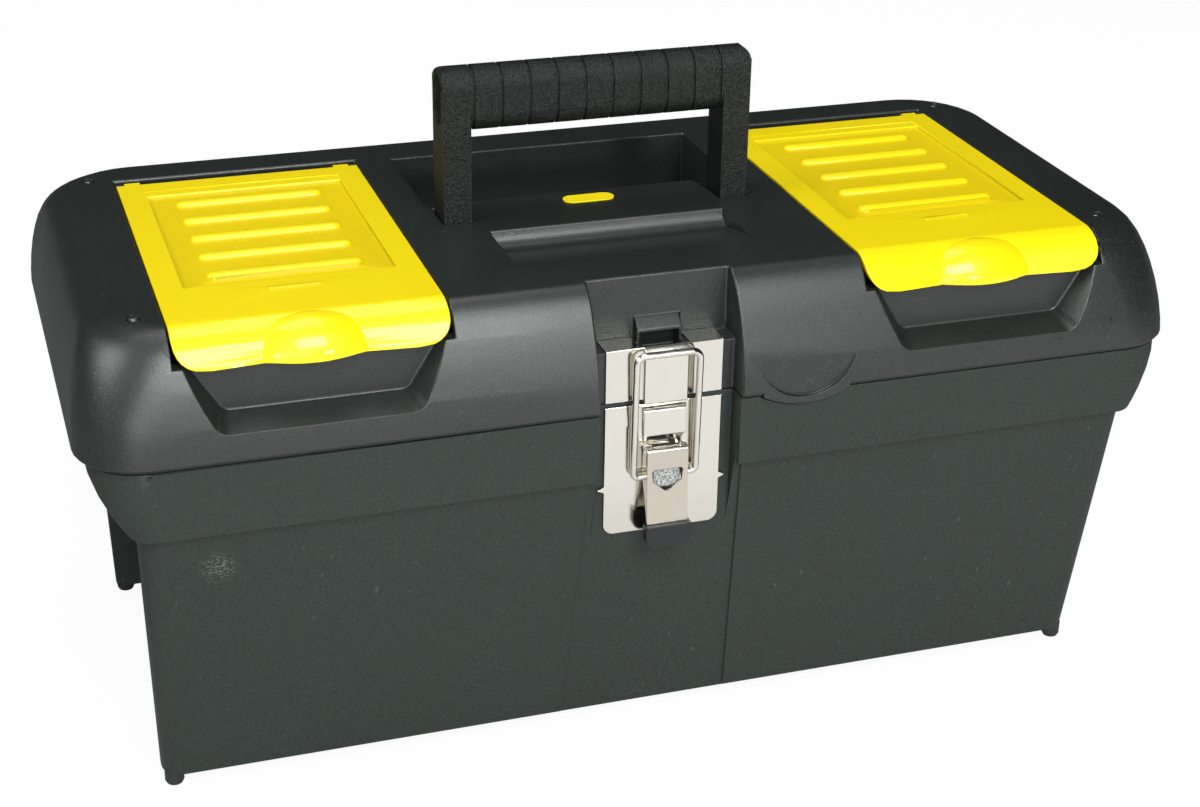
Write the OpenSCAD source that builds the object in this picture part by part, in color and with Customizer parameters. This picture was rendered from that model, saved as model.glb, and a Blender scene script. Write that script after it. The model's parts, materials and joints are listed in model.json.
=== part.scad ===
// Moulded plastic case for hand tools: a tapered tub, a domed lid on a rear hinge,
// one metal toggle latch, two small-parts organisers let into the lid and a
// carrying handle that folds back into a well.
// X runs along the case, -Y is the latch side, Z is up. Sizes are millimetres.

/* [Case] */
// Length over the lid's rim
case_length = 406; // [390:1:420]
// Depth over the lid's rim
rim_depth = 200; // [194:1:208]
// Height of the parting line between tub and lid
parting_z = 138; // [134:0.5:142]
// Height of the lid above the parting line
lid_height = 43.5; // [42:0.5:46]
// Wall thickness of the mouldings
wall = 3; // [2.6:0.1:3.2]
// Corner radius of the lid's rim in plan
rim_radius = 23; // [19:1:26]

/* [Tub] */
// How far the tub's ends lean in from the lid's rim at the floor
end_taper = 21; // [19:0.5:24]
// How far the tub's long walls lean in from the lid's rim at the floor
side_taper = 23.5; // [21:0.5:25]
// Height of the top band round the tub
band_height = 26; // [24:0.5:28]
// How far the band curves in at the ends, down to its lower edge
band_sweep = 11.6; // [10:0.2:13]
// How far the band overhangs the long walls
band_step = 3.4; // [3:0.1:4]
// How far the band's lower edge overhangs the ends
end_step = 3.5; // [3:0.1:4]
// How much the hollow in an end narrows towards the top, on each side
hollow_lean = 12; // [8:1:16]
// Height of the feet
foot_height = 4; // [3:0.5:5]
// Diameter of a foot
foot_d = 7; // [6:0.5:8]
// Depth of the hollow in each end wall
end_hollow = 13.5; // [12:0.5:15]
// Depth of the panel behind the latch
panel_depth = 1.2; // [0.8:0.1:1.4]
// Height of the lip that stands up inside the lid
lip_height = 4; // [3:0.5:5]

/* [Lid] */
// How far the front face leans back at the top of the lid
front_crown = 15.5; // [13:0.5:17]
// How far the end faces lean in at the top of the lid
end_crown = 8; // [7:0.5:10]
// Half width of the latch recess
recess_half = 26.4; // [25:0.2:28]
// Length of the shallow pocket in front of the handle
scoop_length = 90; // [80:1:96]
// Width of that pocket, front to back
scoop_width = 33; // [28:1:34]
// Depth of that pocket
scoop_depth = 6; // [4:0.5:7]
// Length of the blank plate
plate_length = 20; // [16:1:22]
// Width of the blank plate
plate_width = 7.6; // [6:0.2:9]

/* [Handle] */
// Length over the handle's ends
handle_length = 118.4; // [114:0.4:120]
// Width of a post
post_width = 10.6; // [9:0.2:11]
// Thickness of posts and grip, front to back
grip_depth = 15; // [14:0.2:15.6]
// Height of the grip's section
grip_height = 24; // [21:0.5:25]
// Height of the grip's top above the lid
handle_rise = 57; // [54:0.5:57.5]
// Depth of the pivots under the lid's top face
pivot_drop = 9.5; // [8.8:0.1:9.8]
// Diameter of a pivot pin
pivot_d = 5; // [4:0.5:6]
// Grooves cut round the grip
grip_grooves = 10; // [6:2:12]
// Spacing of the grooves
groove_pitch = 10.5; // [8:0.25:10.5]
// Distance of the pivots from the lid's front
handle_back = 94.1; // [92:0.1:96]
// Depth of the well that the handle folds into
well_depth = 23; // [21:0.5:25]

/* [Organisers] */
// Distance from the end of the lid to an organiser
org_end = 34; // [33:0.5:36]
// Distance from a handle post to an organiser
org_inner = 16.8; // [16.4:0.2:18]
// Rear edge of an organiser lid, from the middle of the rim
org_rear = 59.3; // [57:0.1:60]
// Thickness of an organiser lid
org_sheet = 2.6; // [2.4:0.1:2.8]
// Height of its lip's lower edge above the parting line
lip_edge = 31.5; // [30.5:0.5:33]
// Diameter of a hinge rod
rod_d = 3.2; // [3:0.1:3.4]
// Wall thickness of an organiser bin
bin_wall = 1.8; // [1.5:0.1:2.2]
// Cross walls in a bin
bin_dividers = 2; // [1:1:3]
// Ribs on an organiser lid
rib_count = 5; // [3:1:6]
// Distance from a rib's ends to the organiser's ends, together
rib_short = 39; // [36:1:44]

/* [Latch] */
// Half width of the latch plates
plate_half = 21.8; // [20:0.2:22]
// Thickness of the latch's sheet steel
sheet = 1; // [0.8:0.1:1.2]
// Height of the lid plate above the parting line
keeper_rise = 20.5; // [19:0.5:22]
// Length of the tub plate below the parting line
base_drop = 51.5; // [49:0.5:53]
// Diameter of the bail's wire
wire_d = 2.6; // [2.2:0.1:2.8]
// Width over the bail
bail_width = 26; // [24:0.5:27]
// Width of the lever
lever_width = 15.4; // [14:0.2:16]
// Length of the lever's face below its pin
lever_length = 32; // [30:0.5:32.5]
// Distance from the lever's pin to the bail's ends
bail_arm = 10; // [9.5:0.25:10.5]
// Diameter of the lever's pin
lever_pin_d = 2.4; // [2:0.1:2.6]

/* [Rear hinges] */
// Distance of each hinge from the case's middle
hinge_x = 110; // [90:1:130]
// Length of a hinge over its knuckles
hinge_length = 52; // [44:1:60]
// Diameter of a knuckle
knuckle_d = 7; // [6.5:0.1:7.6]
// Diameter of a hinge pin
hinge_pin_d = 3; // [2.6:0.1:3.4]

/* [Tray] */
// Depth of the lift-out tray
tray_depth = 40; // [32:1:44]
// Wall thickness of the tray
tray_wall = 2; // [1.6:0.1:2.4]

/* [Fits] */
// Gap round parts that swing
swing_gap = 0.5; // [0.4:0.05:0.6]
// Radial running clearance of a pin in its bore
run_fit = 0.08; // [0.05:0.01:0.1]
// Radial clearance of a pin where it is held
hold_fit = 0.03; // [0.02:0.01:0.05]

/* [Hidden] */
$fn = 48;
corner_fn = 32;
eps = 0.01;
skin = 0.02;
// Half sizes over the lid's rim
half_x = case_length / 2;
half_y = rim_depth / 2;
// Knuckle centre lies just behind the rim; the case is centred over rim and hinges
hinge_y = half_y + 1.5;
hinge_z = parting_z + 0.25;
rear_out = hinge_y + knuckle_d / 2 - half_y;
mid_y = -rear_out / 2;
lid_bottom = parting_z + 0.3;
lid_top = parting_z + lid_height;
// Tub walls
band_z = parting_z - band_height;
tub_hx0 = half_x - end_taper;
tub_hy0 = half_y - side_taper;
band_hx = half_x - 3.5;
band_hy = half_y - 1.4;
band_low_hx = band_hx - band_sweep;
tub_hx1 = band_low_hx - end_step;
tub_hy1 = band_hy - band_step;
tub_radius = 7;
wall_rise = band_z - foot_height;
wall_tilt = atan((tub_hy1 - tub_hy0) / wall_rise);
end_tilt = atan((tub_hx1 - tub_hx0) / wall_rise);
pillar = 11;
ledge_z = band_z + 2.6;
lip_hx = half_x - wall - 1.9;
lip_hy = half_y - wall - 1.7;
lip_wall = 2;
function tub_hy(z) = tub_hy0 + (tub_hy1 - tub_hy0) * (z - foot_height) / wall_rise;
function tub_hx(z) = tub_hx0 + (tub_hx1 - tub_hx0) * (z - foot_height) / wall_rise;
// Latch: faces that the two plates lie on, and the planes of lever and bail
seat_y = -(half_y - 10.6);
plate_y = seat_y - sheet;
keeper_top = parting_z + keeper_rise;
base_bottom = parting_z - base_drop;
boss_out = 2.2;
boss_half = bail_width / 2 - wire_d - 2.4;
pin_y = plate_y - 2.8;
pin_z = parting_z - 18.5;
bail_y = pin_y + 0.4;
bail_z = pin_z - bail_arm;
bar_y = plate_y - boss_out - wire_d / 2 - 0.35;
bar_z = keeper_top - 1.6;
lever_face = pin_y - 3.2;
lever_tip = pin_z - lever_length;
// Lid recess for the latch
recess_y = seat_y + 9.4;
fold_y = recess_y - 0.1;
skirt = 2.6;
hood_half = 8.4;
hood_y = recess_y - 4;
mouth_half = 7.2;
// Handle
post_out = handle_length / 2;
post_in = post_out - post_width;
handle_y = -(half_y - handle_back);
pivot_z = lid_top - pivot_drop;
grip_top = lid_top + handle_rise;
reach = grip_top - pivot_z;
slot_gap = swing_gap;
well_rear = handle_y + reach + 1.8;
well_front = 8;
well_half = post_out + 2;
well_floor = lid_top - well_depth;
boss_z = pivot_z - grip_depth / 2 - 3;
// Organisers
org_length = half_x - org_end - post_out - org_inner;
org_x = half_x - org_end - org_length / 2;
rib_length = org_length - rib_short;
rod_y = org_rear + 2.2;
rod_z = lid_top - 3;
rod_r = rod_d / 2;
cut_half = org_length / 2 + 0.6;
cut_rear = rod_y + 4.2;
flange_top = lid_top - wall - 0.03;
flange_front = -(half_y - 27);
bin_half = org_length / 2 - 2;
bin_rear = org_rear - 1.2;
bin_front = -(half_y - 21.5);
bin_floor = parting_z + 12.5;
rail_z = rod_z - 5;
screw_x = org_length / 2 + 9.6;
screw_rear = 68.5;
screw_front = -69.8;
screw_r = 1.3;
ear_r = 5;
scoop_rear = -25.3;
pocket_low = parting_z + 12;
pocket_back = -(half_y - 12.6);
lip_z = parting_z + lip_edge;
// Thumb catch beside the latch
catch_x = 50.5;
catch_half = 16.5;
catch_r = 36;
catch_sag = 4.2;
dish_r = 19.3;
lug_r = 2.6;
tub_colour = "#424844";
lid_colour = "#3c3f40";
yellow = "#ffe100";
nickel = "#d8d2c8";
black = "#202223";

// Inset of the lid's faces at height share t, as a crown that ends in a round edge
function lean(t, crown, edge) = crown * t * t + edge * (1 - sqrt(max(0, 1 - pow(t, 12))));

// Slices of the lid's outside, drawn in by a wall thickness
function lid_slices(w) = concat(
    [[lid_bottom, half_x - 1.2 - w, half_y - 1.2 - w, rim_radius - w]],
    [for (t = [0.04, 0.15, 0.3, 0.45, 0.6, 0.72, 0.83, 0.9, 0.95, 0.985, 1])
        [lid_bottom + t * (lid_height - 0.3 - w) - (t == 1 ? skin : 0),
         half_x - w - lean(t, end_crown, 9),
         half_y - w - lean(t, front_crown, 4),
         rim_radius + 5 * t - w]]
);

function band_radius(t) = 9 + (rim_radius - 12) * t;

// Slices of the band round the top of the tub, which curves in at the ends
function band_slices(w, z0, z1) =
    [for (t = [0, 0.12, 0.3, 0.55, 0.8, 1])
        [z0 + t * (z1 - z0) - (t == 1 ? skin : 0),
         band_hx - w - band_sweep * pow(1 - t, 1.7),
         band_hy - w - 0.5 * (1 - t),
         band_radius(t) - w / 2]];

// Solid through rounded rectangles: each slice is height, half length, half depth, radius
module loft(slices) {
    hull()
        for (s = slices, sx = [-1, 1], sy = [-1, 1])
            translate([sx * (s[1] - s[3]), sy * (s[2] - s[3]), s[0]])
                cylinder(r = s[3], h = skin, $fn = corner_fn);
}

// Moves a node from the middle of the rim to the middle of the whole case
module place(colour) {
    translate([0, mid_y, 0]) color(colour) children();
}

module box(x0, x1, y0, y1, z0, z1) {
    translate([x0, y0, z0]) cube([x1 - x0, y1 - y0, z1 - z0]);
}

// Box that is the same on both sides of the middle
module mid_box(hx, y0, y1, z0, z1) {
    box(-hx, hx, y0, y1, z0, z1);
}

// Rod along X between two ends
module rod_x(r, x0, x1, y, z) {
    translate([x0, y, z]) rotate([0, 90, 0]) cylinder(r = r, h = x1 - x0);
}

// Rod along Y between two ends
module rod_y_axis(r, x, y0, y1, z) {
    translate([x, y1, z]) rotate([90, 0, 0]) cylinder(r = r, h = y1 - y0);
}

// Side view drawn as Y across and Z up, carried along X
module along_x(x0, x1) {
    translate([x0, 0, 0]) rotate([90, 0, 90]) linear_extrude(x1 - x0) children();
}

// Front view drawn as X across and Z up, carried along Y
module along_y(y0, y1) {
    translate([0, y1, 0]) rotate([90, 0, 0]) linear_extrude(y1 - y0) children();
}

function arc(cx, cy, r, a0, a1, n = 6) =
    [for (i = [0:n]) let (a = a0 + (a1 - a0) * i / n) [cx + r * cos(a), cy + r * sin(a)]];

// Straight block with rounded upright corners
module slab(hx, hy, r, z0, z1) {
    translate([0, 0, z0])
        linear_extrude(z1 - z0)
            polygon(concat(arc(hx - r, hy - r, r, 0, 90), arc(-hx + r, hy - r, r, 90, 180),
                           arc(-hx + r, -hy + r, r, 180, 270), arc(hx - r, -hy + r, r, 270, 360)));
}

// ---- tub ----

// Pad and back wall behind the latch, inside the tub
module latch_backing() {
    mid_box(recess_half + skirt, -band_hy + wall / 2, seat_y + wall, base_bottom - 6, parting_z - skin);
}

// Hollow in each end wall, between the corner pillars; grown by a wall for the inside
module end_walls(grow) {
    for (side = [-1, 1])
        mirror([side < 0 ? 1 : 0, 0, 0])
            translate([tub_hx0 - end_hollow - grow, 0, foot_height])
                rotate([0, end_tilt, 0])
                    along_x(0, 40)
                        polygon([[-tub_hy0 + pillar - grow, -20], [tub_hy0 - pillar + grow, -20],
                                 [tub_hy1 - pillar - hollow_lean + grow, wall_rise - 8 + grow],
                                 [-tub_hy1 + pillar + hollow_lean - grow, wall_rise - 8 + grow]]);
}

module tub_inside() {
    difference() {
        loft([[foot_height + wall, tub_hx(foot_height) - wall - 2, tub_hy(foot_height) - wall - 2, tub_radius - 2],
              [foot_height + wall + 4, tub_hx(foot_height) - wall, tub_hy(foot_height) - wall, tub_radius - 2],
              [ledge_z, tub_hx1 - wall, tub_hy1 - wall - 1, tub_radius - 2]]);
        end_walls(wall);
        latch_backing();
    }
    difference() {
        union() {
            loft(band_slices(wall, ledge_z, parting_z - 4));
            slab(lip_hx - lip_wall, lip_hy - lip_wall, rim_radius - 7, parting_z - 8, parting_z + lip_height + 1);
        }
        latch_backing();
    }
}

// Sloping panel between two steps, behind and under the latch
module front_panel() {
    translate([0, -tub_hy0 + panel_depth, foot_height])
        rotate([wall_tilt, 0, 0])
            along_y(-10, 0)
                polygon([[-33, -8], [33, -8], [28.5, wall_rise + 2], [-28.5, wall_rise + 2]]);
}

module tub_knuckles() {
    for (side = [-1, 1], out = [-1, 1]) {
        x_mid = side * hinge_x + out * (hinge_length * 3 / 8);
        quarter = hinge_length / 8 - 0.2;
        rod_x(knuckle_d / 2, x_mid - quarter, x_mid + quarter, hinge_y, hinge_z);
        along_x(x_mid - quarter, x_mid + quarter)
            polygon([[band_hy - wall / 2, parting_z - 14], [band_hy, parting_z - 14],
                     [hinge_y + knuckle_d * 0.42, hinge_z - knuckle_d * 0.28],
                     [hinge_y, hinge_z], [hinge_y - 1, parting_z - 0.1], [band_hy - wall / 2, parting_z - 0.1]]);
    }
}

module base_tub() {
    place(tub_colour)
    difference() {
        union() {
            difference() {
                union() {
                    loft([[foot_height, tub_hx0 - 1.4, tub_hy0 - 1.4, tub_radius - 1],
                          [foot_height + 0.5, tub_hx0 - 0.5, tub_hy0 - 0.5, tub_radius],
                          [foot_height + 1.6, tub_hx(foot_height + 1.6), tub_hy(foot_height + 1.6), tub_radius],
                          [band_z + 1, tub_hx(band_z + 1), tub_hy(band_z + 1), tub_radius]]);
                    loft(band_slices(0, band_z, parting_z));
                    slab(lip_hx, lip_hy, rim_radius - 5, parting_z - 2, parting_z + lip_height);
                }
                end_walls(0);
                tub_inside();
                // the lip stops short of the latch, where the lid's recess comes down
                mid_box(recess_half + skirt + 2, -half_y, seat_y + wall, parting_z - eps, parting_z + lip_height + 1);
                front_panel();
            }
            tub_knuckles();
            for (sx = [-1, 1], sy = [-1, 1])
                translate([sx * (tub_hx0 - foot_d / 2 - 0.6), sy * (tub_hy0 - foot_d / 2 - 0.6), 0]) {
                    cylinder(d1 = foot_d - 1.2, d2 = foot_d, h = 1.2);
                    translate([0, 0, 1.2]) cylinder(d = foot_d, h = foot_height + 1);
                }
        }
        // notch in the band and flat seat for the latch plate
        mid_box(recess_half - 0.4, -half_y - 1, seat_y, base_bottom - 2, parting_z + 1);
        for (side = [-1, 1]) {
            rod_x(knuckle_d / 2 + swing_gap, side * hinge_x - hinge_length / 4 - 0.1,
                  side * hinge_x + hinge_length / 4 + 0.1, hinge_y, hinge_z);
            rod_x(hinge_pin_d / 2 + hold_fit, side * hinge_x - hinge_length / 2 - 1,
                  side * hinge_x + hinge_length / 2 + 1, hinge_y, hinge_z);
            // slots for the latch plate's clinched tabs
            box(side * 14 - 3.2, side * 14 + 3.2, seat_y - 1, seat_y + wall + 3, parting_z - 8.2, parting_z - 6.8);
        }
        // dished seat for the lid's thumb catch
        intersection() {
            rod_y_axis(catch_r + swing_gap, catch_x, -half_y - 2, -band_hy + 1.6, parting_z - catch_sag + catch_r);
            box(catch_x - catch_half - swing_gap, catch_x + catch_half + swing_gap,
                -half_y - 2, 0, parting_z - 12, parting_z + 1);
        }
    }
}

// Block that keeps the tray clear of the latch backing
module tray_notch(grow) {
    mid_box(recess_half + skirt + 1.5 + grow, -half_y, seat_y + wall + 1.5 + grow, 0, lid_top);
}

module tote_tray() {
    low = ledge_z - tray_depth;
    rim_x = tub_hx1 - wall - 1.5;
    rim_y = lip_hy - lip_wall - 0.4;
    body_x = tub_hx(low) - end_hollow - wall - 1.5;
    low_y = tub_hy(low) - wall - 3;
    top_y = tub_hy1 - wall - 2.2;
    wall_x = body_x / 2;
    bridge = 18;
    place("#3a3d3e")
    difference() {
        union() {
            difference() {
                union() {
                    loft([[low, body_x - 3, low_y - 2, 12], [low + 3, body_x - 1, low_y, 12],
                          [ledge_z + 1, body_x, top_y, 12]]);
                    slab(rim_x, rim_y, 12, ledge_z, ledge_z + 2.2);
                }
                difference() {
                    loft([[low + tray_wall, body_x - 4, low_y - 3, 10],
                          [ledge_z + 4, body_x - tray_wall, top_y - tray_wall, 10]]);
                    tray_notch(tray_wall);
                }
            }
            // partitions and the carrying bridge
            for (x = [-wall_x, wall_x])
                along_x(x - 1, x + 1)
                    polygon([[-low_y + 3, low + 1], [low_y - 3, low + 1], [top_y - 1, ledge_z], [-top_y + 1, ledge_z]]);
            along_y(-1.2, 1.2)
                polygon([[-wall_x, low + 1], [wall_x, low + 1], [wall_x, ledge_z], [60, ledge_z + 2],
                         [50, ledge_z + bridge], [-50, ledge_z + bridge], [-60, ledge_z + 2], [-wall_x, ledge_z]]);
            rod_x(4.5, -48, 48, 0, ledge_z + bridge - 2);
        }
        tray_notch(0);
        // finger opening under the bridge
        mid_box(40, -5, 5, ledge_z - 14, ledge_z + bridge - 8);
    }
}

module hinge_pin(side) {
    place(nickel)
        rod_x(hinge_pin_d / 2, side * hinge_x - hinge_length / 2 + 0.4,
              side * hinge_x + hinge_length / 2 - 0.4, hinge_y, hinge_z);
}

module hinge_pin_left() { hinge_pin(-1); }
module hinge_pin_right() { hinge_pin(1); }

// ---- latch ----

module latch_base_plate() {
    r = 4;
    place(nickel)
    difference() {
        union() {
            // rounded plate with a small point on each side
            along_y(plate_y, seat_y)
                polygon(concat(
                    [[-plate_half, parting_z - 1.2], [plate_half, parting_z - 1.2],
                     [plate_half, parting_z - 32], [plate_half + 2.6, parting_z - 33.4], [plate_half, parting_z - 34.6]],
                    arc(plate_half - r, base_bottom + r, r, 0, -90),
                    arc(-plate_half + r, base_bottom + r, r, -90, -180),
                    [[-plate_half, parting_z - 34.6], [-plate_half - 2.6, parting_z - 33.4], [-plate_half, parting_z - 32]]));
            // raised channel above the lever
            along_x(-boss_half, boss_half)
                polygon([[plate_y + eps, parting_z - 2.2], [plate_y - boss_out + 0.9, parting_z - 2.4],
                         [plate_y - boss_out, parting_z - 3.3], [plate_y - boss_out, pin_z + 5.4],
                         [plate_y + eps, pin_z + 4]]);
            // ears that carry the lever's pin
            for (side = [-1, 1])
                along_x(side * (lever_width / 2 - sheet - 1.2) - sheet / 2,
                        side * (lever_width / 2 - sheet - 1.2) + sheet / 2)
                    union() {
                        polygon([[seat_y - eps, pin_z - 5], [plate_y, pin_z - 5], [pin_y - 1, pin_z - 1.4],
                                 [pin_y, pin_z + 1.7], [plate_y, pin_z + 0.5], [seat_y - eps, pin_z + 0.5]]);
                        translate([pin_y, pin_z]) circle(r = 1.9);
                    }
            // tabs clinched behind the tub's wall
            for (side = [-1, 1])
                box(side * 14 - 3, side * 14 + 3, seat_y - eps, seat_y + wall + 1, parting_z - 8, parting_z - 7);
            for (side = [-1, 1])
                box(side * 14 - 3, side * 14 + 3, seat_y + wall + 0.05, seat_y + wall + 1,
                    parting_z - 12, parting_z - 7);
        }
        rod_x(lever_pin_d / 2 + hold_fit, -lever_width, lever_width, pin_y, pin_z);
    }
}

module latch_lever_pin() {
    place(nickel)
        rod_x(lever_pin_d / 2, -lever_width / 2 + 0.1, lever_width / 2 - 0.1, pin_y, pin_z);
}

// Grey block that shows through the lever's window
module latch_staple() {
    face = lever_face + sheet + 0.3;
    place("#8c9296")
        along_x(-4.8, 4.8)
            polygon([[plate_y, pin_z - 6.6], [face + 0.5, pin_z - 6.6], [face, pin_z - 7.2], [face, pin_z - 13.4],
                     [face + 0.8, pin_z - 14.4], [plate_y, pin_z - 14.4]]);
}

module latch_lever() {
    t = sheet;
    top = pin_z + 1.7;
    knee = pin_z - 16.5;
    ear = lever_width / 2;
    flare = 1.6;
    place(nickel)
    difference() {
        union() {
            // face that leaves the plate as it goes down
            along_x(-ear, ear)
                polygon([[lever_face + 1.2, top], [lever_face + 0.4, top - 0.4], [lever_face, top - 1.1],
                         [lever_face, knee], [lever_face - flare + 0.3, lever_tip + 5], [lever_face - flare, lever_tip],
                         [lever_face - flare + t, lever_tip], [lever_face - flare + 0.3 + t, lever_tip + 5],
                         [lever_face + t, knee], [lever_face + t, top - 1], [lever_face + 1.2, top - 0.8]]);
            // side flanges with the pin and bail holes
            for (side = [-1, 1])
                along_x(side * (ear - t / 2) - t / 2, side * (ear - t / 2) + t / 2)
                    union() {
                        polygon([[lever_face + 0.2, top - 1.2], [lever_face + 1.2, top], [pin_y, top],
                                 [pin_y + 1.9, pin_z + 0.6], [pin_y + 2.1, pin_z - 0.8], [bail_y + 2.1, bail_z],
                                 [bail_y + 1.5, bail_z - 1.5], [lever_face + 2.4, knee - 2],
                                 [lever_face - flare + 0.7, lever_tip + 4], [lever_face - flare + 0.4, lever_tip + 4],
                                 [lever_face + 0.1, knee]]);
                        translate([bail_y, bail_z]) circle(r = 2.1);
                        translate([pin_y, pin_z]) circle(r = 2.1);
                    }
        }
        rod_x(lever_pin_d / 2 + run_fit, -ear - 1, ear + 1, pin_y, pin_z);
        rod_x(wire_d / 2 + run_fit, -ear - 1, ear + 1, bail_y, bail_z);
        // window: flat above, narrowing to a blunt point below
        along_y(lever_face - 2, lever_face + 2)
            polygon(concat(arc(4.6, pin_z - 7.5, 1.2, 0, 90, 4), arc(-4.6, pin_z - 7.5, 1.2, 90, 180, 4),
                           [[-5.4, pin_z - 11]], arc(0, pin_z - 13.2, 1.8, 220, 320, 5), [[5.4, pin_z - 11]]));
    }
}

module latch_lever_tip() {
    half = lever_width / 2 + 0.9;
    front = lever_face - 3.4;
    low = lever_tip - 4;
    corner = 3.6;
    place(black)
    difference() {
        along_y(front, lever_face + 0.6)
            polygon(concat(arc(half - corner, low + corner, corner, 0, -90),
                           arc(-half + corner, low + corner, corner, -90, -180),
                           [[-half, lever_tip + 4.6], [half, lever_tip + 4.6]]));
        // socket that the lever's end is pushed into
        mid_box(lever_width / 2 + hold_fit, lever_face - 1.6 - hold_fit, lever_face - 1.2 + sheet,
                lever_tip - hold_fit, lever_tip + 6);
    }
}

module latch_bail() {
    r = wire_d / 2;
    bend = 3.2;
    leg = bail_width / 2 - r;
    len = bar_z - bail_z;
    tilt = atan((bail_y - bar_y) / len);
    place(nickel)
        translate([0, bail_y, bail_z])
            rotate([tilt, 0, 0]) {
                for (side = [-1, 1]) {
                    translate([side * leg, 0, 1.8]) cylinder(r = r, h = len - bend - 1.8);
                    translate([side * (leg - bend), 0, len - bend])
                        rotate([90, 0, side > 0 ? 0 : 180])
                            rotate_extrude(angle = 90, $fn = 48) translate([bend, 0]) circle(r = r, $fn = 24);
                    // foot of the wire, turned in to the lever
                    translate([side * (leg - 1.8), 0, 1.8])
                        rotate([90, 0, side > 0 ? 0 : 180]) rotate([0, 0, -90])
                            rotate_extrude(angle = 90, $fn = 48) translate([1.8, 0]) circle(r = r, $fn = 24);
                }
                rod_x(r, -leg + bend, leg - bend, 0, len);
                rod_x(r, -leg + 1.8, -lever_width / 2 + sheet + 0.1, 0, 0);
                rod_x(r, lever_width / 2 - sheet - 0.1, leg - 1.8, 0, 0);
            }
}

module latch_keeper_plate() {
    low = parting_z + 0.6;
    place(nickel)
    union() {
        along_y(plate_y, seat_y) square_at(-plate_half, low, plate_half, keeper_top);
        // plate folds back over the recess's ledge
        difference() {
            mid_box(plate_half, plate_y, fold_y, keeper_top - sheet, keeper_top);
            // notch in front of the hood
            mid_box(hood_half + 1, seat_y + eps, fold_y + 1, keeper_top - sheet - 1, keeper_top + 1);
        }
        along_x(-boss_half, boss_half)
            polygon([[plate_y + eps, low - 1], [plate_y - boss_out + 0.8, low - 1.6],
                     [plate_y - boss_out, low - 0.8], [plate_y - boss_out, keeper_top - 1.4],
                     [plate_y - boss_out + 1.2, keeper_top], [plate_y + eps, keeper_top]]);
        for (side = [-1, 1]) {
            box(side * 14 - 3, side * 14 + 3, seat_y - eps, seat_y + skirt + 1, parting_z + 8, parting_z + 9);
            box(side * 14 - 3, side * 14 + 3, seat_y + skirt + 0.05, seat_y + skirt + 1, parting_z + 8, parting_z + 12);
        }
    }
}

module square_at(x0, y0, x1, y1) {
    translate([x0, y0]) square([x1 - x0, y1 - y0]);
}

// ---- lid ----

// Outline of the hollow under an organiser's lip, on the lid's front face
module pocket_outline(side, half_top, half_low, low, r) {
    translate([side * org_x, 0])
        polygon(concat([[-half_top, lip_z + 12], [-half_top, lip_z + 4]],
                       arc(-half_low, low + r, r, 200, 270), arc(half_low, low + r, r, 270, 340),
                       [[half_top, lip_z + 4], [half_top, lip_z + 12]]));
}

// Hollow that narrows from the lid's face to its back wall
module lip_pocket(side) {
    hull() {
        along_y(-half_y - 3, -half_y - 3 + skin) pocket_outline(side, cut_half + 2, cut_half - 16, pocket_low - 2.4, 7);
        along_y(pocket_back - skin, pocket_back) pocket_outline(side, cut_half - 3, cut_half - 18.6, pocket_low + 2.6, 5);
    }
}

module lid_blocks() {
    // walls of the handle's well and its pivots
    mid_box(well_half + skirt, handle_y - grip_depth / 2 - slot_gap - skirt, well_rear + skirt,
            well_floor - skirt, lid_top - 1);
    // walls round the latch recess
    mid_box(recess_half + skirt, -half_y, recess_y + skirt, lid_bottom, lid_top - 1);
    // floor under the front pocket
    mid_box(scoop_length / 2 + skirt, scoop_rear - scoop_width - 2, scoop_rear + skirt,
            lid_top - scoop_depth - skirt, lid_top - 1);
    for (side = [-1, 1]) {
        // back wall of the hollow under each organiser lip
        box(side * org_x - cut_half - 2, side * org_x + cut_half + 2, -half_y, pocket_back + skirt,
            pocket_low - 4, lip_z + 1);
        for (y = [screw_rear, screw_front])
            translate([side * (org_x + screw_x), y, flange_top - 3.2]) cylinder(r = ear_r, h = 4);
    }
}

module lid_well() {
    slot_front = handle_y - grip_depth / 2 - slot_gap;
    in_x = post_in - slot_gap;
    out_x = post_out + slot_gap;
    // well behind the posts, with a chamfer that runs forward to each slot
    translate([0, 0, well_floor]) linear_extrude(well_depth + 1)
        polygon([[-well_half, well_rear], [-well_half, well_front], [-out_x, well_front], [-out_x, slot_front],
                 [-in_x, slot_front], [-in_x, handle_y - 3], [-in_x + 2.6, well_front],
                 [in_x - 2.6, well_front], [in_x, handle_y - 3], [in_x, slot_front],
                 [out_x, slot_front], [out_x, well_front], [well_half, well_front], [well_half, well_rear]]);
    // small relief at the front right corner of each slot
    for (x = [-post_in + 1.25, post_out + 1.25])
        translate([x, slot_front + 2, lid_top - 3]) cylinder(r = 1.4, h = 4, $fn = 24);
    // hollow under the bridge between the posts
    mid_box(in_x - 8, slot_front, well_front - skirt, well_floor - skirt - 1, lid_top - wall - 1.4);
}

module lid_knuckles() {
    for (side = [-1, 1]) {
        q = hinge_length / 4 - 0.3;
        rod_x(knuckle_d / 2, side * hinge_x - q, side * hinge_x + q, hinge_y, hinge_z);
        along_x(side * hinge_x - q, side * hinge_x + q)
            polygon([[half_y - wall / 2, lid_bottom + 0.4], [hinge_y - 1, lid_bottom + 0.2], [hinge_y, hinge_z],
                     [hinge_y + knuckle_d * 0.4, hinge_z + knuckle_d * 0.3], [half_y - 0.6, parting_z + 11],
                     [half_y - 1.8, parting_z + 12], [half_y - wall / 2 - 1.2, parting_z + 8]]);
    }
}

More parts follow.
